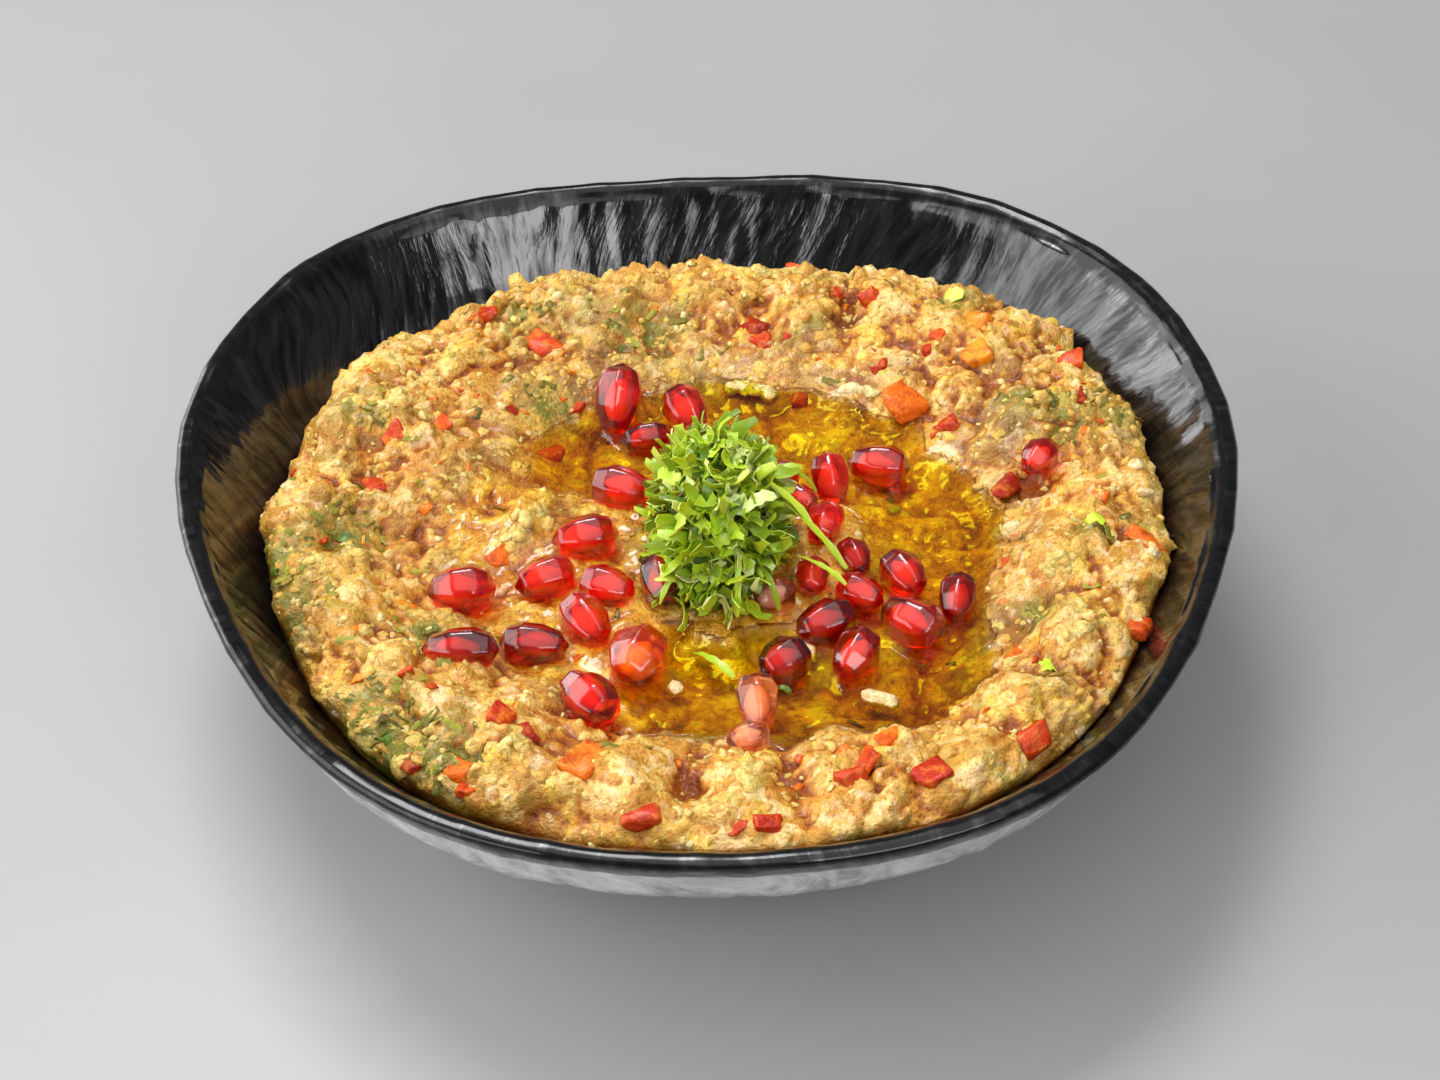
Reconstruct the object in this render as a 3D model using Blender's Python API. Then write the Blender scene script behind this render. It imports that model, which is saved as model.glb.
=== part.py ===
"""Baba ganoush served in a black hand-formed bowl, with oil, pomegranate arils and chopped parsley.

Metres, +Z up. The origin is under the middle of the bowl, on the surface it stands on, and the
side from which the dish is served faces -Y.
"""

import math

import bmesh
import bpy
from mathutils import Matrix, Vector, noise

MM = 0.001
GAP = 0.3 * MM  # clearance between pieces that touch
WALL_GAP = 0.6 * MM  # the same for dip and bowl, measured level across their sloping faces

# Bowl
RIM_RADIUS = 95.5 * MM
RIM_HEIGHT = 46.0 * MM
RIM_ROLL = 0.7 * MM  # how far the lip rises and falls round the bowl
RIM_ROLL_WAVES = (3, 2)  # it does so in two sets of waves, one laid over the other
RIM_ROLL_TURN = 0.6  # radians
FOOT_RADIUS = 44.0 * MM
FOOT_HEIGHT = 3.0 * MM
BELLY = 2.4 * MM  # how much fuller the wall is on the side of BELLY_BEARING
BELLY_HEIGHT = 26.0 * MM
BELLY_SPAN = 19.0 * MM
BELLY_BEARING = -105.0
HAMMER_DEPTH = 0.7 * MM  # dents of the hammered wall
HAMMER_PITCH = 11.0 * MM
SEGMENTS = 64
# The rim is a rounded, uneven square: waves round it, how far each swells, bearing of a crest.
RIM_WAVES = (
    (2, 0.7 * MM, 78.0),
    (3, 3.3 * MM, 34.0),
    (4, 2.1 * MM, 47.0),
    (6, 0.8 * MM, 0.0),
)

# Outer wall, from the foot up to the rim and over the lip: radius and height.
OUTER_SECTION = (
    (FOOT_RADIUS, 0.0),
    (FOOT_RADIUS + 0.6 * MM, FOOT_HEIGHT),
    (60.0 * MM, 9.6 * MM),
    (74.0 * MM, 18.5 * MM),
    (85.0 * MM, 28.5 * MM),
    (91.0 * MM, 37.5 * MM),
    (RIM_RADIUS - 0.5 * MM, RIM_HEIGHT - 2.4 * MM),
    (RIM_RADIUS, RIM_HEIGHT - 1.2 * MM),
    (RIM_RADIUS - 1.2 * MM, RIM_HEIGHT - 0.2 * MM),
    (RIM_RADIUS - 3.0 * MM, RIM_HEIGHT - 0.1 * MM),
)

# Inner wall, from the lip down to the floor: radius and height.
INNER_SECTION = (
    (RIM_RADIUS - 4.6 * MM, RIM_HEIGHT - 1.4 * MM),
    (RIM_RADIUS - 6.4 * MM, RIM_HEIGHT - 4.0 * MM),
    (84.2 * MM, 36.5 * MM),
    (79.6 * MM, 31.0 * MM),
    (70.0 * MM, 22.0 * MM),
    (57.0 * MM, 13.6 * MM),
    (46.0 * MM, 8.4 * MM),
    (34.0 * MM, 6.6 * MM),
)

# Dip
DIP_EDGE = 31.5 * MM  # height at which the dip meets the wall
DIP_EDGE_TILT = 4.2 * MM
DIP_EDGE_BEARING = -55.0  # where the dip stands highest against the wall
DIP_RINGS = 13
RING_BUNCHING = 1.6  # above 1, rings stand closer together towards the wall
SHOULDER = 10.5 * MM  # width of the rounded shoulder along the wall
WELL_FLOOR = 35.0 * MM  # spoon hollow in the middle
WELL_CENTRE = Vector((3.5 * MM, -8.0 * MM))
WELL_RADIUS = 45.0 * MM

# Rise of the dip from the edge of the well (0) to the wall (1), above the well's floor.
RIDGE_SECTION = (
    (0.0, 0.0),
    (0.18, 0.6 * MM),
    (0.42, 3.4 * MM),
    (0.62, 4.8 * MM),
    (1.0, 5.2 * MM),
)

# Moat that holds the oil: an arc about the well's centre, deepest in its middle.
MOAT_RADIUS = 35.5 * MM
MOAT_HALF_WIDTH = 12.5 * MM
MOAT_DEPTH = 3.6 * MM
MOAT_START = -128.0
MOAT_END = 160.0
MOAT_FADE = 24.0  # degrees over which each end runs out

# Oil
OIL_LEVEL = 34.0 * MM
OIL_BOTTOM = 29.0 * MM
OIL_REACH = 60.0 * MM

# Garnish
HEAP_CENTRE = Vector((2.2 * MM, -8.5 * MM))
HEAP_HALF_WIDTH = 13.2 * MM
HEAP_HALF_DEPTH = 20.5 * MM
HEAP_TOP = 57.5 * MM
HEAP_FOOT_DEPTH = 3.0 * MM  # how far its foot goes into the dip
HEAP_SEGMENTS = 18
HEAP_RINGS = 7
HEAP_RAGGED = 0.16  # share by which its outline swells and shrinks
HEAP_LOBES_ROUND = 1.7  # how often it does so round the heap
HEAP_LOBES_UP = 3.1  # and up the heap
ARIL_SINK = 0.33  # share of its width by which an aril's middle stands above the dip
ARIL_TILT_LIFT = 0.7  # share of a leaning aril's rise by which it stands higher
ARIL_FLOAT = 32.8 * MM  # an aril in the pool sinks no lower than this
ARIL_SPACING = 0.9 * MM
SETTLING_ROUNDS = 120

# Spoon folds (+) and clefts (-): x, y, heading in degrees, half length, half width, height, in mm.
FOLDS = (
    (-50, 15, -66, 18, 7.0, 2.8),
    (-56, -14, -22, 12, 3.5, -3.4),
    (-59, -30, -62, 13, 8.0, 1.6),
    (-41, -49, -8, 17, 7.0, 2.4),
    (-32, -65, -30, 7, 6.0, 1.6),
    (-14, -66, 5, 8, 6.0, 1.8),
    (-3, -66, 80, 8, 3.2, -3.0),
    (6, -66, 90, 6, 5.0, 1.8),
    (14, -67, 100, 8, 3.2, -2.6),
    (30, -63, 12, 11, 6.5, 1.6),
    (52, -52, 45, 11, 8.0, 1.4),
    (65, -15, 82, 22, 9.0, 1.2),
    (56, 7, 35, 10, 3.5, -2.2),
    (58, 24, 22, 11, 6.0, 1.8),
    (47, 57, -45, 11, 7.0, 1.6),
    (27, 64, 85, 9, 3.4, -3.0),
    (3, 68, 4, 15, 6.0, 1.6),
    (-28, 61, 28, 11, 6.5, 1.6),
    (-19, 47, 8, 13, 6.0, -1.8),
    (-33, -3, 62, 7, 4.0, 2.6),
    (-68, 5, 86, 13, 6.0, 1.2),
    (21, 41, -8, 9, 4.0, 1.0),
    (38, -44, 42, 13, 8.0, -3.8),
)

# Pomegranate arils: x, y, heading and lean of the broad end in degrees, length, width, in mm.
ARILS = (
    (-16.0, 30.5, 80, 46, 13.5, 8.8),
    (-4.0, 29.5, 120, 24, 10.5, 7.8),
    (-10.5, 21.5, 10, 0, 9.0, 6.4),
    (-4.5, 18.5, 35, 0, 12.0, 7.4),
    (-15.0, 5.5, 160, 0, 11.8, 8.2),
    (-21.0, -9.0, 12, 0, 11.5, 8.2),
    (-26.0, -20.0, 25, 0, 10.8, 7.6),
    (-17.0, -22.0, 160, 0, 9.8, 7.6),
    (-9.5, -21.0, 100, 10, 10.5, 7.4),
    (-41.5, -23.0, 5, 0, 11.4, 9.0),
    (-39.0, -39.0, 0, 0, 12.4, 7.4),
    (-29.0, -36.0, 176, 0, 11.4, 7.4),
    (-20.5, -30.5, 125, 8, 11.0, 7.8),
    (-11.5, -38.5, 70, 0, 11.6, 10.2),
    (-19.0, -49.5, -52, 0, 11.8, 8.6),
    (8.5, -48.5, 96, 22, 10.4, 7.4),
    (7.0, -57.0, 20, 0, 7.2, 5.4),
    (13.0, -38.0, 40, 0, 9.4, 8.0),
    (25.0, -36.5, 60, 10, 10.2, 7.6),
    (20.5, -28.0, 30, 0, 11.0, 7.8),
    (12.5, -23.0, 15, 12, 8.4, 6.6),
    (18.5, -19.5, 80, 0, 7.6, 6.2),
    (26.0, -19.5, 150, 0, 8.8, 7.0),
    (33.5, -16.5, 120, 6, 10.0, 7.4),
    (34.5, -27.0, -40, 0, 12.0, 8.2),
    (42.5, -22.5, 78, 12, 9.8, 6.8),
    (21.0, -5.0, 75, 0, 9.0, 7.0),
    (24.0, -11.5, 110, 0, 7.6, 6.0),
    (21.5, 8.5, 100, 38, 10.6, 7.2),
    (14.0, 7.0, 20, 0, 7.6, 6.2),
    (31.0, 14.0, -12, 0, 11.2, 7.8),
    (17.5, 2.0, 140, 0, 6.6, 5.4),
    (59.5, 11.5, 55, 0, 8.4, 6.4),
)
ARIL_RINGS = ((-0.38, 0.60), (-0.12, 0.93), (0.17, 1.0), (0.38, 0.74))  # place, share of width
ARIL_SIDES = 6

# Faces that meet at more than this many degrees keep a sharp edge.
CREASE = 40.0
OIL_CREASE = 25.0
ARIL_CREASE = 60.0


# ---------------------------------------------------------------- helpers


def clear_scene():
    for obj in list(bpy.data.objects):
        bpy.data.objects.remove(obj, do_unlink=True)


def smoothstep(value):
    value = min(max(value, 0.0), 1.0)
    return value * value * (3.0 - 2.0 * value)


def angle_between(first, second):
    """Unsigned difference of two bearings in degrees, 0 to 180."""
    return abs((first - second + 180.0) % 360.0 - 180.0)


def read_section(section, place):
    """Value of a section at a place, along straight lines from point to point."""
    for (start, low), (end, high) in zip(section, section[1:]):
        if place <= end:
            share = (place - start) / (end - start)
            return low + (high - low) * share
    return section[-1][1]


def make_material(name, colour, roughness):
    material = bpy.data.materials.new(name)
    material.use_nodes = True
    shader = material.node_tree.nodes["Principled BSDF"]
    shader.inputs["Base Color"].default_value = (*colour, 1.0)
    shader.inputs["Roughness"].default_value = roughness
    material.diffuse_color = (*colour, 1.0)
    return material


def loft(name, rings):
    """Closed body through rings of equal count; a ring of one point is a pole, others are capped."""
    bm = bmesh.new()
    loops = [[bm.verts.new(point) for point in ring] for ring in rings]
    for lower, upper in zip(loops, loops[1:]):
        count = max(len(lower), len(upper))
        for i in range(count):
            j = (i + 1) % count
            corners = [lower[i % len(lower)], lower[j % len(lower)]]
            corners += [upper[j % len(upper)], upper[i % len(upper)]]
            bm.faces.new(list(dict.fromkeys(corners)))
    for end in (loops[0], loops[-1]):
        if len(end) > 1:
            bm.faces.new(end)
    bmesh.ops.recalc_face_normals(bm, faces=bm.faces)
    bmesh.ops.triangulate(bm, faces=bm.faces)
    mesh = bpy.data.meshes.new(name)
    bm.to_mesh(mesh)
    bm.free()
    obj = bpy.data.objects.new(name, mesh)
    bpy.context.collection.objects.link(obj)
    return obj


def carve(target, cutter):
    """Take the cutter's shape out of the target, and keep the result as the target's mesh."""
    cut = target.modifiers.new("cut", "BOOLEAN")
    cut.operation = "DIFFERENCE"
    cut.solver = "EXACT"
    cut.object = cutter
    bpy.context.view_layer.update()
    graph = bpy.context.evaluated_depsgraph_get()
    carved = bpy.data.meshes.new_from_object(target.evaluated_get(graph))
    target.modifiers.clear()
    target.data = carved


def keep_largest_body(obj):
    """Drop the small puddles that a cut leaves beside the main body."""
    bm = bmesh.new()
    bm.from_mesh(obj.data)
    left = set(bm.verts)
    bodies = []
    while left:
        body = {left.pop()}
        edge_of_search = list(body)
        while edge_of_search:
            vert = edge_of_search.pop()
            near = {edge.other_vert(vert) for edge in vert.link_edges} & left
            left -= near
            body |= near
            edge_of_search += near
        bodies.append(body)
    largest = max(bodies, key=len)
    for body in bodies:
        if body is not largest:
            bmesh.ops.delete(bm, geom=list(body), context="VERTS")
    bm.to_mesh(obj.data)
    bm.free()


def finish_piece(obj, material, crease_degrees=CREASE):
    obj.data.materials.clear()
    obj.data.materials.append(material)
    obj.data.shade_smooth()
    obj.data.set_sharp_from_angle(angle=math.radians(crease_degrees))


# ---------------------------------------------------------------- bowl


def rim_swell(angle):
    """How far the rim stands out from a circle at an angle in radians."""
    return sum(
        swell * math.cos(count * (angle - math.radians(bearing)))
        for count, swell, bearing in RIM_WAVES
    )


def bowl_axis():
    """Where the bowl's axis stands, so that the uneven rim is centred on the origin."""
    angles = [math.tau * i / SEGMENTS for i in range(SEGMENTS)]
    radii = [RIM_RADIUS + rim_swell(angle) for angle in angles]
    across = [radius * math.cos(angle) for radius, angle in zip(radii, angles)]
    along = [radius * math.sin(angle) for radius, angle in zip(radii, angles)]
    return Vector((-(max(across) + min(across)) / 2, -(max(along) + min(along)) / 2))


AXIS = bowl_axis()


def wall_point(radius, height, angle, hammered=0.0):
    """Point of the bowl at a nominal radius and height: a circle at the foot, uneven at the rim."""
    share = smoothstep((radius - FOOT_RADIUS) / (RIM_RADIUS - FOOT_RADIUS))
    direction = Vector((math.cos(angle), math.sin(angle)))
    reach = radius + share * rim_swell(angle) * radius / RIM_RADIUS
    facing = (1.0 + math.cos(angle - math.radians(BELLY_BEARING))) / 2
    reach += BELLY * facing * smoothstep(1.0 - abs(height - BELLY_HEIGHT) / BELLY_SPAN)
    seed = Vector((direction.x * radius, direction.y * radius, height)) / HAMMER_PITCH
    reach += hammered * share * HAMMER_DEPTH * noise.noise(seed)
    place = AXIS + direction * reach
    many, few = RIM_ROLL_WAVES
    roll = RIM_ROLL * math.sin(many * angle + RIM_ROLL_TURN) * math.cos(few * angle)
    lift = smoothstep((height - DIP_EDGE) / (RIM_HEIGHT - DIP_EDGE)) * roll
    return Vector((place.x, place.y, height + lift))


def make_bowl():
    angles = [math.tau * i / SEGMENTS for i in range(SEGMENTS)]
    rings = []
    for radius, height in OUTER_SECTION:
        dented = 1.0 if FOOT_HEIGHT < height < DIP_EDGE else 0.0
        rings.append([wall_point(radius, height, angle, dented) for angle in angles])
    for radius, height in INNER_SECTION:
        rings.append([wall_point(radius, height, angle) for angle in angles])
    bowl = loft("bowl", rings)
    finish_piece(bowl, make_material("black_glaze", (0.012, 0.013, 0.015), 0.22))
    return bowl


# ---------------------------------------------------------------- dip


def edge_height(angle):
    bearing = angle - math.radians(DIP_EDGE_BEARING)
    return DIP_EDGE + DIP_EDGE_TILT * math.cos(bearing)


def inner_radius_at(height):
    """Nominal radius of the inner wall at a height."""
    for (upper_radius, upper), (lower_radius, lower) in zip(INNER_SECTION, INNER_SECTION[1:]):
        if height >= lower:
            share = (height - lower) / (upper - lower)
            return lower_radius + (upper_radius - lower_radius) * share
    return 0.0


def ray_to_circle(direction, centre, radius):
    """How far a ray from the origin runs until it leaves a circle round it."""
    along = direction.dot(centre)
    return along + math.sqrt(radius**2 - centre.length_squared + along**2)


def moat_depth(place):
    """How deep the spoon has drawn the moat at a place."""
    offset = place - WELL_CENTRE
    bearing = math.degrees(math.atan2(offset.y, offset.x))
    middle = (MOAT_START + MOAT_END) / 2
    half_span = (MOAT_END - MOAT_START) / 2
    along = smoothstep((half_span - angle_between(bearing, middle)) / MOAT_FADE)
    across = (offset.length - MOAT_RADIUS) / MOAT_HALF_WIDTH
    return MOAT_DEPTH * along * math.exp(-(across**4))


def fold_lift(place):
    """Sum of the spoon folds and clefts at a place."""
    lift = 0.0
    for x, y, heading, half_length, half_width, height in FOLDS:
        offset = place - Vector((x * MM, y * MM))
        turn = math.radians(heading)
        along = offset.x * math.cos(turn) + offset.y * math.sin(turn)
        across = offset.y * math.cos(turn) - offset.x * math.sin(turn)
        reach = (along / (half_length * MM)) ** 2 + (across / (half_width * MM)) ** 2
        lift += height * MM * math.exp(-reach)
    return lift


def dip_height(place):
    """Height of the dip's surface at a place inside the wall."""
    offset = place - AXIS
    angle = math.atan2(offset.y, offset.x)
    edge = edge_height(angle)
    reach = (wall_point(inner_radius_at(edge), edge, angle).to_2d() - AXIS).length
    direction = Vector((math.cos(angle), math.sin(angle)))
    well = ray_to_circle(direction, WELL_CENTRE - AXIS, WELL_RADIUS)
    rise = read_section(RIDGE_SECTION, max((offset.length - well) / (reach - well), 0.0))
    top = WELL_FLOOR + rise - moat_depth(place) + fold_lift(place)
    steep = min(max(1.0 - (reach - offset.length) / SHOULDER, 0.0), 1.0)
    return edge + (top - edge) * math.sqrt(1.0 - steep * steep)


def dip_rings(raised):
    """Rings of the dip from its underside in the bowl, up the wall and over to the middle."""
    rings = []
    angles = [math.tau * i / SEGMENTS for i in range(SEGMENTS)]
    for radius, height in reversed(INNER_SECTION):
        if height > DIP_EDGE - DIP_EDGE_TILT:
            break
        inner = radius - WALL_GAP
        rings.append([wall_point(inner, height + GAP + raised, angle) for angle in angles])
    edge_ring = []
    for angle in angles:
        edge = edge_height(angle)
        edge_ring.append(wall_point(inner_radius_at(edge) - WALL_GAP, edge + raised, angle))
    rings.append(edge_ring)
    for step in range(1, DIP_RINGS):
        share = 1.0 - (step / DIP_RINGS) ** RING_BUNCHING
        ring = []
        for point in edge_ring:
            place = AXIS + (point.to_2d() - AXIS) * share
            ring.append(Vector((place.x, place.y, dip_height(place) + raised)))
        rings.append(ring)
    return rings


def make_dip(name="baba_ganoush", raised=0.0):
    return loft(name, dip_rings(raised))


# ---------------------------------------------------------------- garnish


def aril_rings(length, width, turn, centre):
    """Six-sided seed, narrow at one end and full at the other."""
    tip = -length / 2
    rings = [[centre + turn @ Vector((tip, 0.0, 0.0))]]
    for place, share in ARIL_RINGS:
        radius = share * width / 2
        ring = []
        for side in range(ARIL_SIDES):
            angle = math.tau * (side + 0.5) / ARIL_SIDES
            across = Vector((place * length, radius * math.cos(angle), radius * math.sin(angle)))
            ring.append(centre + turn @ across)
        rings.append(ring)
    rings.append([centre + turn @ Vector((-tip, 0.0, 0.0))])
    return rings


def settled_arils():
    """Places of the arils, moved apart sideways until each stands clear of the next."""
    arils = []
    for x, y, heading, lean, length, width in ARILS:
        turn = Matrix.Rotation(math.radians(heading), 3, "Z")
        turn = turn @ Matrix.Rotation(-math.radians(lean), 3, "Y")
        arils.append([Vector((x * MM, y * MM)), turn, length * MM, width * MM])
    for _ in range(SETTLING_ROUNDS):
        for i, first in enumerate(arils):
            for second in arils[i + 1 :]:
                push_apart(first, second)
    return arils


def beads(aril):
    """Three beads along an aril that stand in for its width, in plan."""
    place, turn, length, width = aril
    reach = (length - width) / 2
    return [place + (turn @ Vector((reach * k, 0.0, 0.0))).to_2d() for k in (-1, 0, 1)]


def push_apart(first, second):
    """Move two arils off each other where their closest beads are too near."""
    gaps = [other - one for one in beads(first) for other in beads(second)]
    offset = min(gaps, key=lambda gap: gap.length)
    overlap = (first[3] + second[3]) / 2 + ARIL_SPACING - offset.length
    if overlap > 0:
        step = offset.normalized() * overlap / 2
        first[0] = first[0] - step
        second[0] = second[0] + step


def make_arils(grow=0.0):
    """One object for each aril; grow makes each that much bigger all round, as a cutter."""
    made = []
    for number, (place, turn, length, width) in enumerate(settled_arils(), 1):
        bed = max(dip_height(place), ARIL_FLOAT)
        lift = abs((turn @ Vector((1.0, 0.0, 0.0))).z) * (length - width) / 2
        middle = bed + ARIL_SINK * width + ARIL_TILT_LIFT * lift
        centre = Vector((place.x, place.y, middle))
        name = f"aril_{number:02d}"
        rings = aril_rings(length + 2 * grow, width + 2 * grow, turn, centre)
        made.append(loft(name if not grow else "aril_cutter", rings))
    return made


def join(objects):
    """One object that holds several separate bodies."""
    bm = bmesh.new()
    for obj in objects:
        bm.from_mesh(obj.data)
    mesh = bpy.data.meshes.new("joined")
    bm.to_mesh(mesh)
    bm.free()
    for obj in objects:
        bpy.data.objects.remove(obj, do_unlink=True)
    joined = bpy.data.objects.new("joined", mesh)
    bpy.context.collection.objects.link(joined)
    return joined


def make_parsley():
    """Loose heap of chopped leaf, uneven all round, with its foot in the dip."""
    rings = []
    foot = dip_height(HEAP_CENTRE) - HEAP_FOOT_DEPTH
    for step in range(HEAP_RINGS):
        rise = step / HEAP_RINGS
        share = math.sqrt(1.0 - rise * rise)
        ring = []
        for i in range(HEAP_SEGMENTS):
            angle = math.tau * i / HEAP_SEGMENTS
            facing = Vector((math.cos(angle), math.sin(angle)))
            seed = (facing * HEAP_LOBES_ROUND).to_3d() + Vector((0, 0, rise * HEAP_LOBES_UP))
            ragged = 1.0 + HEAP_RAGGED * noise.noise(seed)
            x = HEAP_CENTRE.x + HEAP_HALF_WIDTH * share * ragged * facing.x
            y = HEAP_CENTRE.y + HEAP_HALF_DEPTH * share * ragged * facing.y
            z = foot + (HEAP_TOP - foot) * rise
            ring.append(Vector((x, y, z)))
        rings.append(ring)
    rings.append([Vector((HEAP_CENTRE.x, HEAP_CENTRE.y, HEAP_TOP))])
    return loft("parsley_heap", rings)


def make_oil():
    """Slab of oil up to its level, before the dip and the arils are taken out of it."""
    angles = [math.tau * i / SEGMENTS for i in range(SEGMENTS)]
    rings = []
    for height in (OIL_BOTTOM, OIL_LEVEL):
        ring = []
        for angle in angles:
            place = WELL_CENTRE + Vector((math.cos(angle), math.sin(angle))) * OIL_REACH
            ring.append(Vector((place.x, place.y, height)))
        rings.append(ring)
    return loft("olive_oil", rings)


# ---------------------------------------------------------------- assembly


def main():
    clear_scene()
    make_bowl()
    dip = make_dip()
    raised_dip = make_dip("raised_dip", GAP)
    cutters = join(make_arils(GAP))
    oil = make_oil()
    heap = make_parsley()
    carve(oil, raised_dip)
    carve(heap, raised_dip)
    for piece in (dip, oil, heap):
        carve(piece, cutters)
        keep_largest_body(piece)
    for helper in (raised_dip, cutters):
        bpy.data.objects.remove(helper, do_unlink=True)
    finish_piece(dip, make_material("aubergine_dip", (0.69, 0.40, 0.13), 0.32))
    finish_piece(oil, make_material("olive_oil", (0.55, 0.30, 0.02), 0.05), OIL_CREASE)
    finish_piece(heap, make_material("parsley_leaf", (0.13, 0.36, 0.03), 0.5))
    seed = make_material("pomegranate_gel", (0.45, 0.01, 0.02), 0.08)
    for aril in make_arils():
        finish_piece(aril, seed, ARIL_CREASE)


main()
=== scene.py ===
# %% [markdown]
# # Baba ganoush in a black bowl
# Smoked aubergine is mashed with oil, lemon and diced pepper, spooned into a hand-formed bowl, and
# pulled into folds with the back of a spoon. A moat holds olive oil. Pomegranate arils and a heap
# of chopped parsley go on top. Each of these is one piece here, laid over a plain CAD model that
# says how large it is and where it sits. The CAD model comes first, because every piece is placed by it.

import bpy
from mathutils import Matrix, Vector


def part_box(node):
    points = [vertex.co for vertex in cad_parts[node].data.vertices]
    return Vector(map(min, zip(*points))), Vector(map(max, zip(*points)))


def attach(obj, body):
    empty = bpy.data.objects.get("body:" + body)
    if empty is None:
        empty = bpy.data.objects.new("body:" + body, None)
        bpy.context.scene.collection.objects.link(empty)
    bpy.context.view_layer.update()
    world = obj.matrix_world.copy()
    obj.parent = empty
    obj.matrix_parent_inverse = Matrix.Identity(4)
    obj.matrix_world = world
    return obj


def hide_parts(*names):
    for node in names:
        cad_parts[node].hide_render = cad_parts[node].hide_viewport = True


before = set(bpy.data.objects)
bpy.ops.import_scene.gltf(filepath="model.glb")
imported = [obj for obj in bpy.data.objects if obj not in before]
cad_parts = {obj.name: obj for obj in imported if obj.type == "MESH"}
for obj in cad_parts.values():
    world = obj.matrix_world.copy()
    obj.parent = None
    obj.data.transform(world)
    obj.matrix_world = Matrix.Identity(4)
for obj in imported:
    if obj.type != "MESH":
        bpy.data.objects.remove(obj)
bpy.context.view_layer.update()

# %% Tools used all through
import math
import random

import bmesh
import bpy
import numpy as np
from mathutils import Matrix, Vector, noise
from mathutils.bvhtree import BVHTree

MM = 0.001
dice = random.Random(11)


def deselect_everything():
    """An operator works on all that is selected, so each piece starts with nothing selected."""
    for obj in bpy.context.selected_objects:
        obj.select_set(False)
    bpy.context.view_layer.objects.active = None


def choose(obj):
    deselect_everything()
    obj.select_set(True)
    bpy.context.view_layer.objects.active = obj


def points_of(obj):
    flat = np.empty(len(obj.data.vertices) * 3)
    obj.data.vertices.foreach_get("co", flat)
    return flat.reshape(-1, 3)


def move_points(obj, points):
    obj.data.vertices.foreach_set("co", points.ravel())
    obj.data.update()


def normals_of(obj):
    flat = np.empty(len(obj.data.vertices) * 3)
    obj.data.vertices.foreach_get("normal", flat)
    return flat.reshape(-1, 3)


def paint(obj, name, values):
    """Store one number for each point of a piece, for its material to read."""
    layer = obj.data.attributes.new(name, "FLOAT", "POINT")
    layer.data.foreach_set("value", np.asarray(values, float))


def paint_places(obj, name, places):
    """Store a place in space for each point, so that a pattern can be laid over a bent surface."""
    layer = obj.data.attributes.new(name, "FLOAT_VECTOR", "POINT")
    layer.data.foreach_set("vector", np.asarray(places, float).ravel())


def ease(value):
    value = np.clip(value, 0.0, 1.0)
    return value * value * (3.0 - 2.0 * value)


def noise_at(points, pitch, seed=0):
    """Smooth noise from -1 to 1 at each point. Its lumps lie about a pitch apart."""
    shift = Vector((seed * 17.3, seed * 7.1, seed * 3.7))
    return np.array([noise.noise(Vector(p) / pitch + shift) for p in points])


def cells_at(points, pitch, seed=0):
    """For each point in a random packing of lumps: a dome over each lump's middle, and the lump's tone."""
    shift = Vector((seed * 17.3, seed * 7.1, seed * 3.7))
    domes = []
    tones = []
    for point in points:
        distances, middles = noise.voronoi(Vector(point) / pitch + shift)
        domes.append(1.0 - 1.6 * distances[0] ** 2)
        tones.append(noise.cell(middles[0] * 5.0))
    return np.array(domes), np.array(tones)


def adopt(piece, slot, *nodes):
    """Make a piece part of the model, and let it stand for the CAD nodes that it covers."""
    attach(piece, "root")
    if nodes:
        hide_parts(*nodes)


print("tools ready")

# %% [markdown]
# ## Materials from nodes
# A Principled shader makes every finish here. Colour that changes over a surface comes from noise on
# Object coordinates, which stay with the piece, mixed by numbers painted on its points, such as how
# deep a fold is, which darkens the fold as painted shade. A small helper keeps the wiring short, so
# that each material reads like a recipe.

# %% Recipe helper


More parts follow.
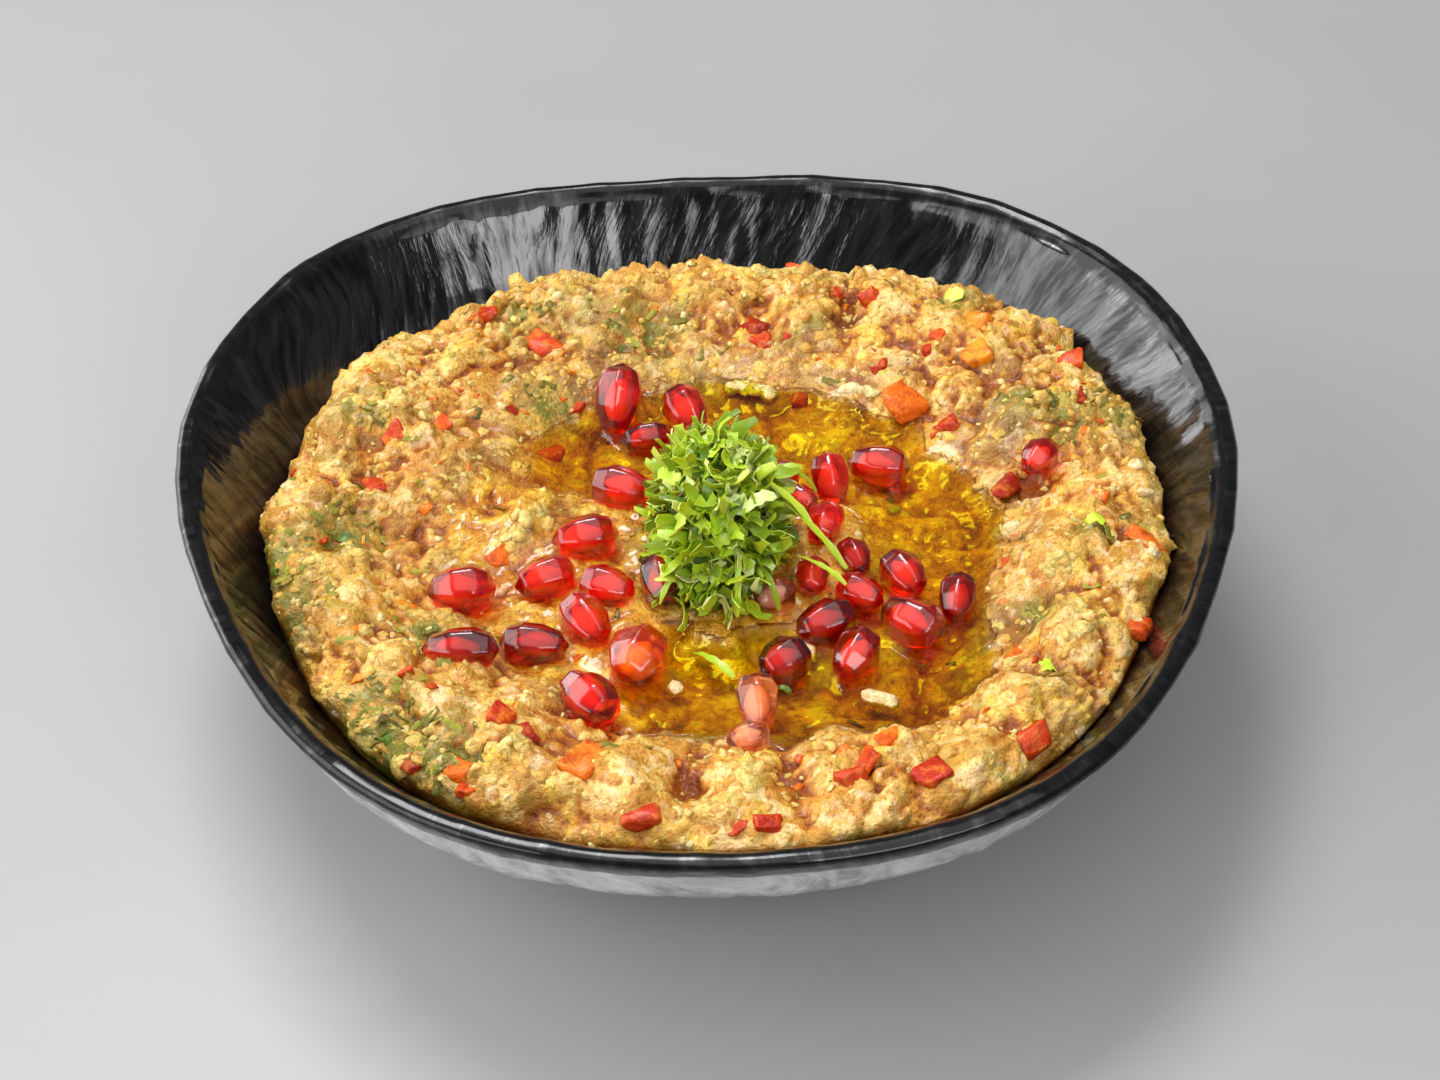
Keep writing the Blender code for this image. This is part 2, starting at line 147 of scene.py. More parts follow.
class Recipe:
    """A material whose nodes are added one at a time."""

    def __init__(self, name):
        self.material = bpy.data.materials.new(name)
        self.material.use_nodes = True
        self.tree = self.material.node_tree
        self.shader = self.tree.nodes["Principled BSDF"]
        self.output = self.tree.nodes["Material Output"]
        place = self.tree.nodes.new("ShaderNodeTexCoord")
        self.place = place.outputs["Object"]

    def set(self, **values):
        for socket, value in values.items():
            self.shader.inputs[socket.replace("_", " ")].default_value = value

    def put(self, socket, source):
        self.tree.links.new(source, self.shader.inputs[socket])

    def node(self, kind, **inputs):
        made = self.tree.nodes.new(kind)
        for socket, value in inputs.items():
            target = made.inputs[socket.replace("_", " ")]
            if isinstance(value, bpy.types.NodeSocket):
                self.tree.links.new(value, target)
            else:
                target.default_value = value
        return made

    def noise(self, pitch, detail=3.0, roughness=0.55, distortion=0.0, place=None):
        made = self.node("ShaderNodeTexNoise", Vector=place or self.place, Scale=1.0 / pitch,
                         Detail=detail, Roughness=roughness, Distortion=distortion)
        return made.outputs["Fac"]

    def painted(self, name):
        made = self.tree.nodes.new("ShaderNodeAttribute")
        made.attribute_name = name
        return made.outputs["Fac"]

    def painted_place(self, name):
        made = self.tree.nodes.new("ShaderNodeAttribute")
        made.attribute_name = name
        return made.outputs["Vector"]

    def ramp(self, source, *stops):
        made = self.node("ShaderNodeValToRGB", Fac=source)
        ramp = made.color_ramp
        while len(ramp.elements) < len(stops):
            ramp.elements.new(0.5)
        for element, (place, colour) in zip(ramp.elements, stops):
            element.position = place
            element.color = (*colour, 1.0)
        return made.outputs["Color"]

    def blend(self, share, first, second, mode="MIX"):
        """Two colours mixed. A share outside 0 to 1 counts as the nearer of the two."""
        made = self.tree.nodes.new("ShaderNodeMix")
        made.data_type = "RGBA"
        made.blend_type = mode
        for index, value in ((0, share), (6, first), (7, second)):
            if isinstance(value, bpy.types.NodeSocket):
                self.tree.links.new(value, made.inputs[index])
            elif index == 0:
                made.inputs[index].default_value = value
            else:
                made.inputs[index].default_value = (*value, 1.0)
        return made.outputs[2]

    def sum(self, first, second, mode="ADD"):
        made = self.tree.nodes.new("ShaderNodeMath")
        made.operation = mode
        for index, value in enumerate((first, second)):
            if isinstance(value, bpy.types.NodeSocket):
                self.tree.links.new(value, made.inputs[index])
            else:
                made.inputs[index].default_value = value
        return made.outputs[0]

    def range(self, source, low, high, new_low=0.0, new_high=1.0):
        made = self.node("ShaderNodeMapRange", Value=source, From_Min=low, From_Max=high,
                         To_Min=new_low, To_Max=new_high)
        return made.outputs["Result"]

    def bump(self, height, strength, distance):
        made = self.node("ShaderNodeBump", Height=height, Strength=strength, Distance=distance)
        self.put("Normal", made.outputs["Normal"])
        return made


print("recipe helper ready")

# %% [markdown]
# ## Camera, table and light
# The diner looks down into the bowl at about forty degrees through a long lens, so that the rim is a
# calm ellipse. Wide soft lamps stand to the left and right, and their reflections slide over
# the glaze of the far wall. The table is plain and pale.

# %% Camera
camera = bpy.data.objects.new("camera", bpy.data.cameras.new("camera"))
bpy.context.scene.collection.objects.link(camera)
camera.location = (0.0024, -0.3792, 0.3533)
camera.rotation_euler = (math.radians(49.5), 0.0, 0.0)
camera.data.lens = 70.0
camera.data.sensor_width = 36.0
bpy.context.scene.camera = camera
bpy.context.scene.view_settings.view_transform = "Standard"
print("camera at", tuple(camera.location))

# %% Table
deselect_everything()
bpy.ops.mesh.primitive_plane_add(size=6.0, location=(0.0, 0.0, -0.0002))
table = bpy.context.object
table.name = "table"
table_recipe = Recipe("pale_table")
table_tone = table_recipe.ramp(table_recipe.noise(0.35, 4.0), (0.35, (0.30, 0.303, 0.307)),
                               (0.7, (0.35, 0.353, 0.357)))
table_recipe.put("Base Color", table_tone)
table_recipe.set(Roughness=0.45)
table.data.materials.append(table_recipe.material)
print("table laid")

# %% Lamps


def soft_lamp(name, location, size, watts, colour=(1.0, 1.0, 1.0)):
    lamp = bpy.data.lights.new(name, "AREA")
    lamp.shape = "RECTANGLE"
    lamp.size, lamp.size_y = size
    lamp.energy = watts
    lamp.color = colour
    holder = bpy.data.objects.new(name, lamp)
    bpy.context.scene.collection.objects.link(holder)
    holder.location = location
    toward = Vector((0.0, 0.0, 0.03)) - Vector(location)
    holder.rotation_euler = toward.to_track_quat("-Z", "Y").to_euler()
    return holder


soft_lamp("window_behind", (-0.26, 0.40, 1.12), (0.60, 0.36), 9.5)
soft_lamp("ceiling", (0.05, 0.05, 1.25), (1.70, 1.20), 8.0)
soft_lamp("panel_left", (-0.795, -0.190, 0.475), (1.60, 0.75), 11.6)
soft_lamp("panel_right", (0.48, -0.75, 0.80), (0.66, 0.45), 4.6)
soft_lamp("panel_back_left", (-0.688, 0.538, 0.218), (0.50, 0.36), 2.0)
world = bpy.data.worlds.new("studio")
world.use_nodes = True
world.node_tree.nodes["Background"].inputs["Color"].default_value = (0.62, 0.64, 0.68, 1.0)
world.node_tree.nodes["Background"].inputs["Strength"].default_value = 0.20
bpy.context.scene.world = world

# %% [markdown]
# ## The bowl
# The bowl is thrown as a round dish and then pushed out of true: its rim is a soft, uneven square, and
# the wall is paddled with a blunt blade, which leaves short strokes that run up the wall. It is
# modelled the same way. A circle is extruded ring by ring along the wall's section, and then its points
# are moved by a few waves round the rim and by the strokes.

# %% Shape of the bowl: section and uneven rim
RIM_RADIUS = 95.5 * MM
RIM_HEIGHT = 46.0 * MM
FOOT_RADIUS = 44.0 * MM
FOOD_EDGE = 31.5 * MM  # height at which the food meets the wall
BELLY = 2.4 * MM  # how much fuller the wall is on one side
BELLY_BEARING = -105.0  # degrees
BELLY_HEIGHT = 26.0 * MM
BELLY_SPREAD = 19.0 * MM
RIM_WAVES = ((2, 0.7, 78.0), (3, 3.3, 34.0), (4, 2.1, 47.0), (6, 0.8, 0.0))  # count, mm, bearing

# radius and height in mm, from the foot up the outside, over the lip and down the inside
WALL_SECTION = (
    (44.0, 0.0), (44.6, 3.0), (60.0, 9.6), (74.0, 18.5), (85.0, 28.5), (91.0, 37.5), (95.0, 43.6),
    (95.5, 44.8), (94.3, 45.8), (92.5, 45.9), (90.9, 44.6), (89.1, 42.0), (84.2, 36.5), (79.6, 31.0),
    (70.0, 22.0), (57.0, 13.6), (46.0, 8.4), (34.0, 6.6),
)


def rim_swell(angle):
    return sum(swell * MM * np.cos(count * (angle - math.radians(bearing)))
               for count, swell, bearing in RIM_WAVES)


def bowl_axis():
    """Where the bowl's axis stands, so that the uneven rim is centred on the origin."""
    angles = np.arange(64) * math.tau / 64
    x = (RIM_RADIUS + rim_swell(angles)) * np.cos(angles)
    y = (RIM_RADIUS + rim_swell(angles)) * np.sin(angles)
    return -(x.max() + x.min()) / 2, -(y.max() + y.min()) / 2


AXIS_X, AXIS_Y = bowl_axis()


def wall_reach(radius, height, angle):
    """How far from the axis the wall stands, for a point of the turned section."""
    share = ease((radius - FOOT_RADIUS) / (RIM_RADIUS - FOOT_RADIUS))
    reach = radius + share * rim_swell(angle) * radius / RIM_RADIUS
    toward_belly = (1.0 + np.cos(angle - math.radians(BELLY_BEARING))) / 2
    belly = ease(1.0 - abs(height - BELLY_HEIGHT) / BELLY_SPREAD)
    return reach + BELLY * toward_belly * belly


def lip_roll(height, angle):
    roll = 0.7 * MM * np.sin(3 * angle + 0.6) * np.cos(2 * angle)
    return ease((height - FOOD_EDGE) / (RIM_HEIGHT - FOOD_EDGE)) * roll


print("bowl's axis at", round(AXIS_X / MM, 2), round(AXIS_Y / MM, 2), "mm")

# %% [markdown]
# The section is given as a few corners. Cutting every corner twice rounds it, and rings are then set at
# even steps along it, closer together over the lip, where the light shows every bend.

# %% Smooth the section
RING_STEP = 1.7 * MM
LIP_STEP = 0.8 * MM
LIP_SHARE = (0.37, 0.66)  # where along the section the lip starts and ends


def rounded_section():
    """The section's corners cut twice, then even steps along it."""
    line = np.array(WALL_SECTION) * MM
    for _ in range(2):
        near = line[:-1] * 0.75 + line[1:] * 0.25
        far = line[:-1] * 0.25 + line[1:] * 0.75
        cut = np.stack((near, far), 1).reshape(-1, 2)
        line = np.vstack((line[:1], cut, line[-1:]))
    run = np.concatenate(([0.0], np.cumsum(np.hypot(*np.diff(line, axis=0).T))))
    steps = np.linspace(0.0, run[-1], int(run[-1] / RING_STEP))
    lip = np.arange(run[-1] * LIP_SHARE[0], run[-1] * LIP_SHARE[1], LIP_STEP)
    steps = np.unique(np.concatenate((steps, lip)).round(5))
    return np.stack((np.interp(steps, run, line[:, 0]), np.interp(steps, run, line[:, 1])), 1)


section = rounded_section()
print("section of", len(section), "rings")

# %% Turn the bowl ring by ring
BOWL_SPOKES = 512
deselect_everything()
bpy.ops.mesh.primitive_circle_add(vertices=BOWL_SPOKES, radius=section[0][0], fill_type="NGON")
bowl = bpy.context.object
bowl.name = "glazed_bowl"
bpy.ops.object.mode_set(mode="EDIT")
bpy.ops.mesh.select_all(action="SELECT")
bpy.ops.mesh.flip_normals()
bpy.ops.mesh.select_mode(type="EDGE")
bpy.ops.mesh.select_all(action="DESELECT")
bpy.ops.mesh.select_non_manifold()
for (radius, height), (next_radius, next_height) in zip(section, section[1:]):
    rise = (0.0, 0.0, next_height - height)
    bpy.ops.mesh.extrude_edges_move(TRANSFORM_OT_translate={"value": rise})
    grow = next_radius / radius
    bpy.ops.transform.resize(value=(grow, grow, 1.0), center_override=(0.0, 0.0, next_height))
bpy.ops.mesh.edge_face_add()
bpy.ops.mesh.select_all(action="SELECT")
bpy.ops.mesh.normals_make_consistent(inside=False)
bpy.ops.object.mode_set(mode="OBJECT")
print("turned bowl has", len(bowl.data.polygons), "faces")

# %% [markdown]
# A stroke of the blade is a shallow trough, a few millimetres wide and three or four times as long.
# A random packing of cells, squeezed narrow round the wall, gives troughs with
# sharp ridges between them, as a tool leaves them. The lip gets larger, flatter facets.

# %% Push the bowl out of true and paddle its wall
points = points_of(bowl)
radius = np.hypot(points[:, 0], points[:, 1])
angle = np.arctan2(points[:, 1], points[:, 0])
height = points[:, 2].copy()
rings_from_lip = np.argmax(section[:, 1])
wall_middle = np.interp(height, section[: rings_from_lip + 1, 1], section[: rings_from_lip + 1, 0])
inside = radius < wall_middle - 1.5 * MM
reach = wall_reach(radius, height, angle)
points[:, 0] = AXIS_X + reach * np.cos(angle)
points[:, 1] = AXIS_Y + reach * np.sin(angle)
points[:, 2] = height + lip_roll(height, angle)
move_points(bowl, points)

arc = RIM_RADIUS * angle
wander = noise_at(np.stack((arc, height, radius * 0), 1), 16 * MM, 3) * 3.0 * MM
strokes = np.stack((arc + wander + 0.2 * height, height * 0.28, inside * 0.05), 1)
trough, _ = cells_at(strokes, 4.2 * MM, 1)
fine = noise_at(np.stack((arc + wander + 0.35 * height, height * 0.20, inside * 0.05), 1), 2.4 * MM, 2)
worked = ease(0.55 + 1.3 * noise_at(np.stack((arc, height, inside * 0.05), 1), 22 * MM, 18))
facets, _ = cells_at(np.stack((arc, height * 0.5, radius * 0.4), 1), 12.0 * MM, 4)
on_lip = ease((height - 43.0 * MM) / (1.5 * MM))
above_foot = ease((height - 4.0 * MM) / (4.0 * MM))
stroke_relief = (0.34 * worked * fine - 0.22 * trough) * (1.0 - on_lip) - 0.42 * facets * on_lip
points = points + normals_of(bowl) * (stroke_relief * above_foot * MM)[:, None]
move_points(bowl, points)
# The outside is painted grey, partly as a grey glaze and partly as a painted reflection of the pale table
# below.
paint(bowl, "outside", np.where(inside, 0.0, ease((41.6 * MM - height) / (1.2 * MM))))
turned = angle + 0.12 * noise_at(points, 30 * MM, 19) + 2.5 * height
brush_run = np.where(inside, 0.33, 0.6) * height
paint(bowl, "lip", on_lip)
stroke_places = np.stack((RIM_RADIUS * np.cos(turned), RIM_RADIUS * np.sin(turned), brush_run), 1)
paint_places(bowl, "stroke_place", stroke_places)
bowl.data.shade_smooth()
print("bowl now spans", points.min(0).round(4), points.max(0).round(4))

# %% Black glaze
glaze = Recipe("black_glaze")
strokes_at = glaze.painted_place("stroke_place")
broad_stroke = glaze.noise(0.0055, 3.0, 0.6, 0.4, place=strokes_at)
thin_stroke = glaze.noise(0.0019, 3.0, 0.6, 0.3, place=strokes_at)
black = glaze.ramp(thin_stroke, (0.3, (0.0012, 0.0013, 0.0016)), (0.8, (0.010, 0.010, 0.011)))
# Painted reflection: the outside's pale grey is partly the table mirrored in the glaze and partly the
# glaze's own grey.
grey_glaze_and_reflection = glaze.ramp(broad_stroke, (0.33, (0.36, 0.361, 0.364)), (0.50, (0.68, 0.681, 0.685)),
                  (0.66, (0.90, 0.90, 0.905)))
glaze.put("Base Color", glaze.blend(glaze.painted("outside"), black, grey_glaze_and_reflection))
matt_lip = glaze.sum(glaze.painted("lip"), 0.05, "MULTIPLY")
glaze.put("Roughness", glaze.sum(glaze.range(broad_stroke, 0.3, 0.7, 0.08, 0.20), matt_lip))
stroke_depth = glaze.sum(glaze.sum(broad_stroke, 0.8, "MULTIPLY"), glaze.sum(thin_stroke, 0.5, "MULTIPLY"))
glaze.bump(stroke_depth, glaze.range(glaze.painted("lip"), 0.0, 1.0, 0.32, 0.05), 0.0012)
thickness = glaze.sum(glaze.sum(broad_stroke, 0.5, "MULTIPLY"), glaze.sum(thin_stroke, 0.5, "MULTIPLY"))
thickness = glaze.sum(thickness, glaze.sum(glaze.painted("lip"), 0.11, "MULTIPLY"), "SUBTRACT")
glaze.put("Specular IOR Level", glaze.range(thickness, 0.42, 0.56, 0.26, 0.62))
glaze.put("Coat Weight", glaze.range(thickness, 0.42, 0.56, 0.15, 0.62))
glaze.set(IOR=1.55, Coat_Roughness=0.08, Specular_IOR_Level=0.45, Coat_Weight=0.4)
bowl.data.materials.append(glaze.material)
adopt(bowl, "black_glaze", "bowl")
print("bowl glazed")

# %% [markdown]
# ## The dip
# Mashed aubergine is a wet, lumpy paste. Its form comes in four sizes: the broad dish with its well and
# moat, the folds that the spoon leaves, lumps of pulp a few millimetres wide with clefts between them,
# and grains. The first two are worked out as heights, as the plain model does it; lumps and grains then
# push the surface out along its normals.

# %% Broad form of the dip
WELL_CENTRE = (3.5 * MM, -8.0 * MM)
WELL_RADIUS = 45.0 * MM
WELL_FLOOR = 35.0 * MM
SHOULDER = 10.5 * MM
RIDGE = ((0.0, 0.0), (0.18, 0.6), (0.42, 3.4), (0.62, 4.8), (1.0, 5.2))  # place, rise in mm
OIL_LEVEL = 34.0 * MM

# Spoon folds (+) and clefts (-): x, y, heading in degrees, half length, half width, height, in mm.
FOLDS = (
    (-50, 15, -66, 18, 7.0, 2.8), (-56, -14, -22, 12, 3.5, -3.4), (-59, -30, -62, 13, 8.0, 1.6),
    (-41, -49, -8, 17, 7.0, 2.4), (-32, -65, -30, 7, 6.0, 1.6), (-14, -66, 5, 8, 6.0, 1.8),
    (-3, -66, 80, 8, 3.2, -3.0), (6, -66, 90, 6, 5.0, 1.8), (14, -67, 100, 8, 3.2, -2.6),
    (30, -63, 12, 11, 6.5, 1.6), (52, -52, 45, 11, 8.0, 1.4), (65, -15, 82, 22, 9.0, 1.2),
    (56, 7, 35, 10, 3.5, -2.2), (58, 24, 22, 11, 6.0, 1.8), (47, 57, -45, 11, 7.0, 1.6),
    (27, 64, 85, 9, 3.4, -3.0), (3, 68, 4, 15, 6.0, 1.6), (-28, 61, 28, 11, 6.5, 1.6),
    (-19, 47, 8, 13, 6.0, -1.8), (-33, -3, 62, 7, 4.0, 2.6), (-68, 5, 86, 13, 6.0, 1.2),
    (21, 41, -8, 9, 4.0, 1.0), (38, -44, 42, 13, 8.0, -3.8),
)
FOLD_DEPTH = 1.28  # how much deeper than listed the folds are laid


def edge_height(angle):
    """Height at which the food meets the wall, which is uneven as a spoon leaves it."""
    ragged = noise_at(np.stack((70 * np.cos(angle), 70 * np.sin(angle), angle * 0), 1), 9.0, 5)
    tilt = 4.2 * np.cos(angle - math.radians(-55.0))
    return FOOD_EDGE + (tilt + 1.5 * ragged) * MM


def inner_wall_radius(height):
    inner = np.array(WALL_SECTION[::-1][:8]) * MM
    return np.interp(height, inner[:, 1], inner[:, 0])


def dip_edge(angle):
    """Reach from the axis and height of the food's edge."""
    edge = edge_height(angle)
    return wall_reach(inner_wall_radius(edge), edge, angle), edge


def fold_lift(x, y):
    lift = np.zeros(len(x))
    for across_x, across_y, heading, half_length, half_width, height in FOLDS:
        turn = math.radians(heading)
        off_x = x - across_x * MM
        off_y = y - across_y * MM
        along = (off_x * math.cos(turn) + off_y * math.sin(turn)) / (half_length * MM)
        across = (off_y * math.cos(turn) - off_x * math.sin(turn)) / (half_width * MM)
        lift += height * MM * np.exp(-(along**2) - across**2)
    return lift * FOLD_DEPTH


def moat_depth(x, y):
    """An arc that the spoon has drawn round the well; it is open to the left."""
    off_x = x - WELL_CENTRE[0]
    off_y = y - WELL_CENTRE[1]
    bearing = np.degrees(np.arctan2(off_y, off_x))
    away = abs((bearing - 16.0 + 180.0) % 360.0 - 180.0)
    along = ease((144.0 - away) / 24.0)
    across = (np.hypot(off_x, off_y) - 35.5 * MM) / (12.5 * MM)
    return 3.6 * MM * along * np.exp(-(across**4))


def well_share(x, y, reach):
    """0 inside the well, rising to 1 at the wall."""
    angle = np.arctan2(y - AXIS_Y, x - AXIS_X)
    off = np.hypot(x - AXIS_X, y - AXIS_Y)
    centre = (WELL_CENTRE[0] - AXIS_X, WELL_CENTRE[1] - AXIS_Y)
    along = np.cos(angle) * centre[0] + np.sin(angle) * centre[1]
    well = along + np.sqrt(WELL_RADIUS**2 - centre[0] ** 2 - centre[1] ** 2 + along**2)
    return np.maximum((off - well) / (reach - well), 0.0)


def dip_height(x, y, reach, edge):
    share = well_share(x, y, reach)
    rise = np.interp(share, [place for place, _ in RIDGE], [mm * MM for _, mm in RIDGE])
    top = WELL_FLOOR + rise - moat_depth(x, y) + fold_lift(x, y)
    off = np.hypot(x - AXIS_X, y - AXIS_Y)
    steep = np.clip(1.0 - (reach - off) / SHOULDER, 0.0, 1.0)
    return edge + (top - edge) * np.sqrt(1.0 - steep**2)


print("folds:", len(FOLDS))

# %% [markdown]
# A square grid keeps its faces nearly even when it is pressed into a disc, where rings and spokes would
# crowd at the middle. Each point of the grid is then sent out to its place in the bowl and
# lifted to the height of the food there.

# %% Lay a grid into the bowl
GRID = 296
deselect_everything()
bpy.ops.mesh.primitive_grid_add(x_subdivisions=GRID, y_subdivisions=GRID, size=2.0)
dip = bpy.context.object
dip.name = "aubergine_dip"
square = points_of(dip)
disc_x = square[:, 0] * np.sqrt(1.0 - square[:, 1] ** 2 / 2)
disc_y = square[:, 1] * np.sqrt(1.0 - square[:, 0] ** 2 / 2)
disc_angle = np.arctan2(disc_y, disc_x)
disc_share = np.minimum(np.hypot(disc_x, disc_y), 1.0)
reach, edge = dip_edge(disc_angle)
x = AXIS_X + disc_share * reach * np.cos(disc_angle)
y = AXIS_Y + disc_share * reach * np.sin(disc_angle)
z = dip_height(x, y, reach, edge)
broad = np.stack((x, y, z), 1)
move_points(dip, broad)
print("dip grid:", len(broad), "points")

# %% Lumps, clefts and grains


def billow(points, pitch, seed):
    """Rounded swellings with creases between them, as in curds."""
    return 2.6 * abs(noise_at(points, pitch, seed)) - 0.5


ridge_share = well_share(x, y, reach)
pulpy = 0.48 + 0.52 * ease(ridge_share / 0.30)
at_edge = ease((1.0 - disc_share) / 0.012)
warp = np.stack([noise_at(broad, 6 * MM, seed) for seed in (6, 7, 8)], 1) * 2.4 * MM
folded = billow(broad + warp, 16 * MM, 9)
mounds = noise_at(broad + warp, 8.5 * MM, 13)
lumps, lump_tone = cells_at(broad + warp, 3.9 * MM, 10)
curds = billow(broad + warp, 4.2 * MM, 14)
small = billow(broad + warp * 0.5, 2.2 * MM, 11)
fibres = noise_at(broad + warp * 0.5, 1.25 * MM, 16)
# The mush share is partly the smooth paste of the inner slopes and partly painted shade: it is laid thickest
# on the back inner slope, which faces away from the lamp behind.
bearing = np.arctan2(y - WELL_CENTRE[1], x - WELL_CENTRE[0])
behind = 0.5 + 0.5 * np.sin(bearing + 0.25)
mush_and_shade = ease(1.15 - ridge_share / (0.22 + 0.34 * behind) + 0.9 * noise_at(broad, 11 * MM, 15))
mush_and_shade *= 0.22 + 0.78 * ease(ridge_share / 0.10)
patchy = (0.45 + 0.75 * ease(0.5 + 1.2 * noise_at(broad, 14 * MM, 12))) * (1.0 - 0.55 * mush_and_shade)
crumbly = 1.05 * (lumps - 0.5) + 0.60 * curds + 0.62 * small + 0.24 * fibres
relief = (1.9 * folded + 1.8 * mounds + patchy * crumbly) * pulpy
shaped = broad + normals_of(dip) * (relief * at_edge * MM)[:, None]
move_points(dip, shaped)
print("relief from", relief.min().round(2), "to", relief.max().round(2), "mm")

# %% How deep each point lies among its neighbours


def spread(heights, reach):
    """Heights on the grid, averaged over a square that reaches some steps each way."""
    wide = np.pad(heights, reach + 1, mode="edge").cumsum(0).cumsum(1)
    size = 2 * reach + 1
    total = wide[size:, size:] - wide[:-size, size:] - wide[size:, :-size] + wide[:-size, :-size]
    return total[: len(heights), : len(heights)] / size**2


heights = shaped[:, 2].reshape(GRID + 1, GRID + 1)
fine_rise = (heights - spread(heights, 4)).ravel() / MM
broad_rise = (heights - spread(heights, 14)).ravel() / MM
print("rise above the near surface:", fine_rise.min().round(2), fine_rise.max().round(2), "mm")

# %% Close the dip below, against the bowl
BELOW_RINGS = (6.0, 8.0, 6.0, 4.0)
DIP_FLOOR = 7.2 * MM
bpy.ops.object.mode_set(mode="EDIT")
bpy.ops.mesh.select_mode(type="EDGE")
bpy.ops.mesh.select_all(action="DESELECT")
bpy.ops.mesh.select_non_manifold()
for drop in BELOW_RINGS:
    bpy.ops.mesh.extrude_edges_move(TRANSFORM_OT_translate={"value": (0.0, 0.0, -drop * MM)})
bpy.ops.mesh.edge_face_add()
bpy.ops.object.mode_set(mode="OBJECT")
points = points_of(dip)
below = points[len(broad) :]
angle = np.arctan2(below[:, 1] - AXIS_Y, below[:, 0] - AXIS_X)
edge = edge_height(angle)
share = (edge - below[:, 2]) / (sum(BELOW_RINGS) * MM)
below[:, 2] = edge + (DIP_FLOOR - edge) * share
reach = wall_reach(inner_wall_radius(below[:, 2]) - 0.6 * MM, below[:, 2], angle)
below[:, 0] = AXIS_X + reach * np.cos(angle)
below[:, 1] = AXIS_Y + reach * np.sin(angle)
move_points(dip, points)
bpy.ops.object.mode_set(mode="EDIT")
bpy.ops.mesh.select_all(action="SELECT")
bpy.ops.mesh.normals_make_consistent(inside=False)
bpy.ops.object.mode_set(mode="OBJECT")
dip.data.shade_smooth()
print("dip has", len(dip.data.polygons), "faces; lowest", round(points_of(dip)[:, 2].min() / MM, 1), "mm")

# %% Paint what the pulp's colour follows
HERB_PATCHES = (  # x, y, radius in mm, how many flecks
    (-35.6, 54.0, 5, 12), (-62.4, 22.7, 7, 26), (-62.4, -8.7, 7, 30), (-73.0, -15.0, 7, 34),
    (-30.3, 29.4, 5, 10), (-12.2, 51.6, 8, 16), (-50.9, -60.5, 8, 60), (-41.0, -64.2, 7, 36),
    (-54.5, -53.3, 6, 22), (-47.2, -33.2, 5, 8), (-70.3, -27.8, 8, 34), (74.1, 24.6, 6, 26),
    (65.2, 20.7, 6, 16), (56.8, 26.4, 5, 6), (66.6, -12.1, 3, 8), (55.9, -48.0, 3, 6),
    (55.8, -28.0, 4, 7), (47.2, 56.7, 4, 5), (12.6, -40.7, 2, 3), (0.0, 4.0, 78, 130),
)


def paint_top(name, values, below=0.3):
    """Paint the dip's upper side, and give the hidden lower side one value."""
    every = np.full(len(dip.data.vertices), below)
    every[: len(values)] = values
    paint(dip, name, every)


green = np.zeros(len(broad))
for patch_x, patch_y, patch_radius, _ in HERB_PATCHES[:-1]:
    off = np.hypot(x - patch_x * MM, y - patch_y * MM) / (patch_radius * MM)
    green = np.maximum(green, np.exp(-(off**2)))
soaked = ease(1.0 - (ridge_share - 0.02) / 0.13)
# The rise above the near surface is painted so that the pulp can be darkened in clefts and folds as painted
# shade.
paint_top("height", np.clip(0.5 + 0.45 * fine_rise + 0.20 * broad_rise, 0.0, 1.0))
paint_top("tone", lump_tone)
# This share carries both the paste and the painted shade on the back inner slope.
paint_top("mush_and_shade", mush_and_shade)
paint_top("green", green, 0.0)
paint_top("soaked", soaked, 0.0)
print("soaked with oil:", round(100 * soaked.mean()), "% of the top")

# %% Wet pulp
pulp = Recipe("wet_pulp")
patch = pulp.noise(0.017, 3.0, 0.6)
mottle = pulp.noise(0.0032, 4.0, 0.6, 0.8)
grain = pulp.noise(0.0012, 3.0, 0.6)
shade = pulp.sum(pulp.sum(pulp.painted("tone"), 0.35, "MULTIPLY"), pulp.sum(mottle, 0.70, "MULTIPLY"))
golden = pulp.ramp(shade, (0.30, (0.58, 0.28, 0.035)), (0.45, (0.74, 0.43, 0.08)),
                   (0.60, (0.84, 0.55, 0.17)), (0.76, (0.88, 0.61, 0.28)))
# The tan colour is partly the paste's own colour and partly painted shade on the back inner slope.
tan = pulp.ramp(shade, (0.30, (0.33, 0.17, 0.042)), (0.5, (0.46, 0.28, 0.085)), (0.76, (0.62, 0.42, 0.17)))
paste_and_shade_share = pulp.sum(pulp.painted("mush_and_shade"), pulp.range(patch, 0.44, 0.66, -0.35, 0.45))
base = pulp.blend(paste_and_shade_share, golden, tan)
for pitch, first, full, most, colour in (
    (0.0065, 0.55, 0.65, 0.70, (0.91, 0.61, 0.08)),
    (0.0047, 0.57, 0.68, 0.65, (0.92, 0.70, 0.42)),
    (0.0090, 0.58, 0.69, 0.60, (0.44, 0.37, 0.065)),
    (0.0053, 0.62, 0.71, 0.50, (0.86, 0.40, 0.09)),
):
    blotch = pulp.range(pulp.noise(pitch, 3.0, 0.55, 0.7), first, full, 0.0, most)
    base = pulp.blend(blotch, base, colour)
# Painted shade: the pulp is darkened where it lies lower than its neighbours, in clefts and folds.
painted_cleft_shade = pulp.ramp(pulp.painted("height"), (0.08, (0.42, 0.17, 0.02)), (0.34, (0.82, 0.58, 0.26)),
                 (0.56, (1.0, 1.0, 1.0)))
base = pulp.blend(1.0, base, painted_cleft_shade, "MULTIPLY")
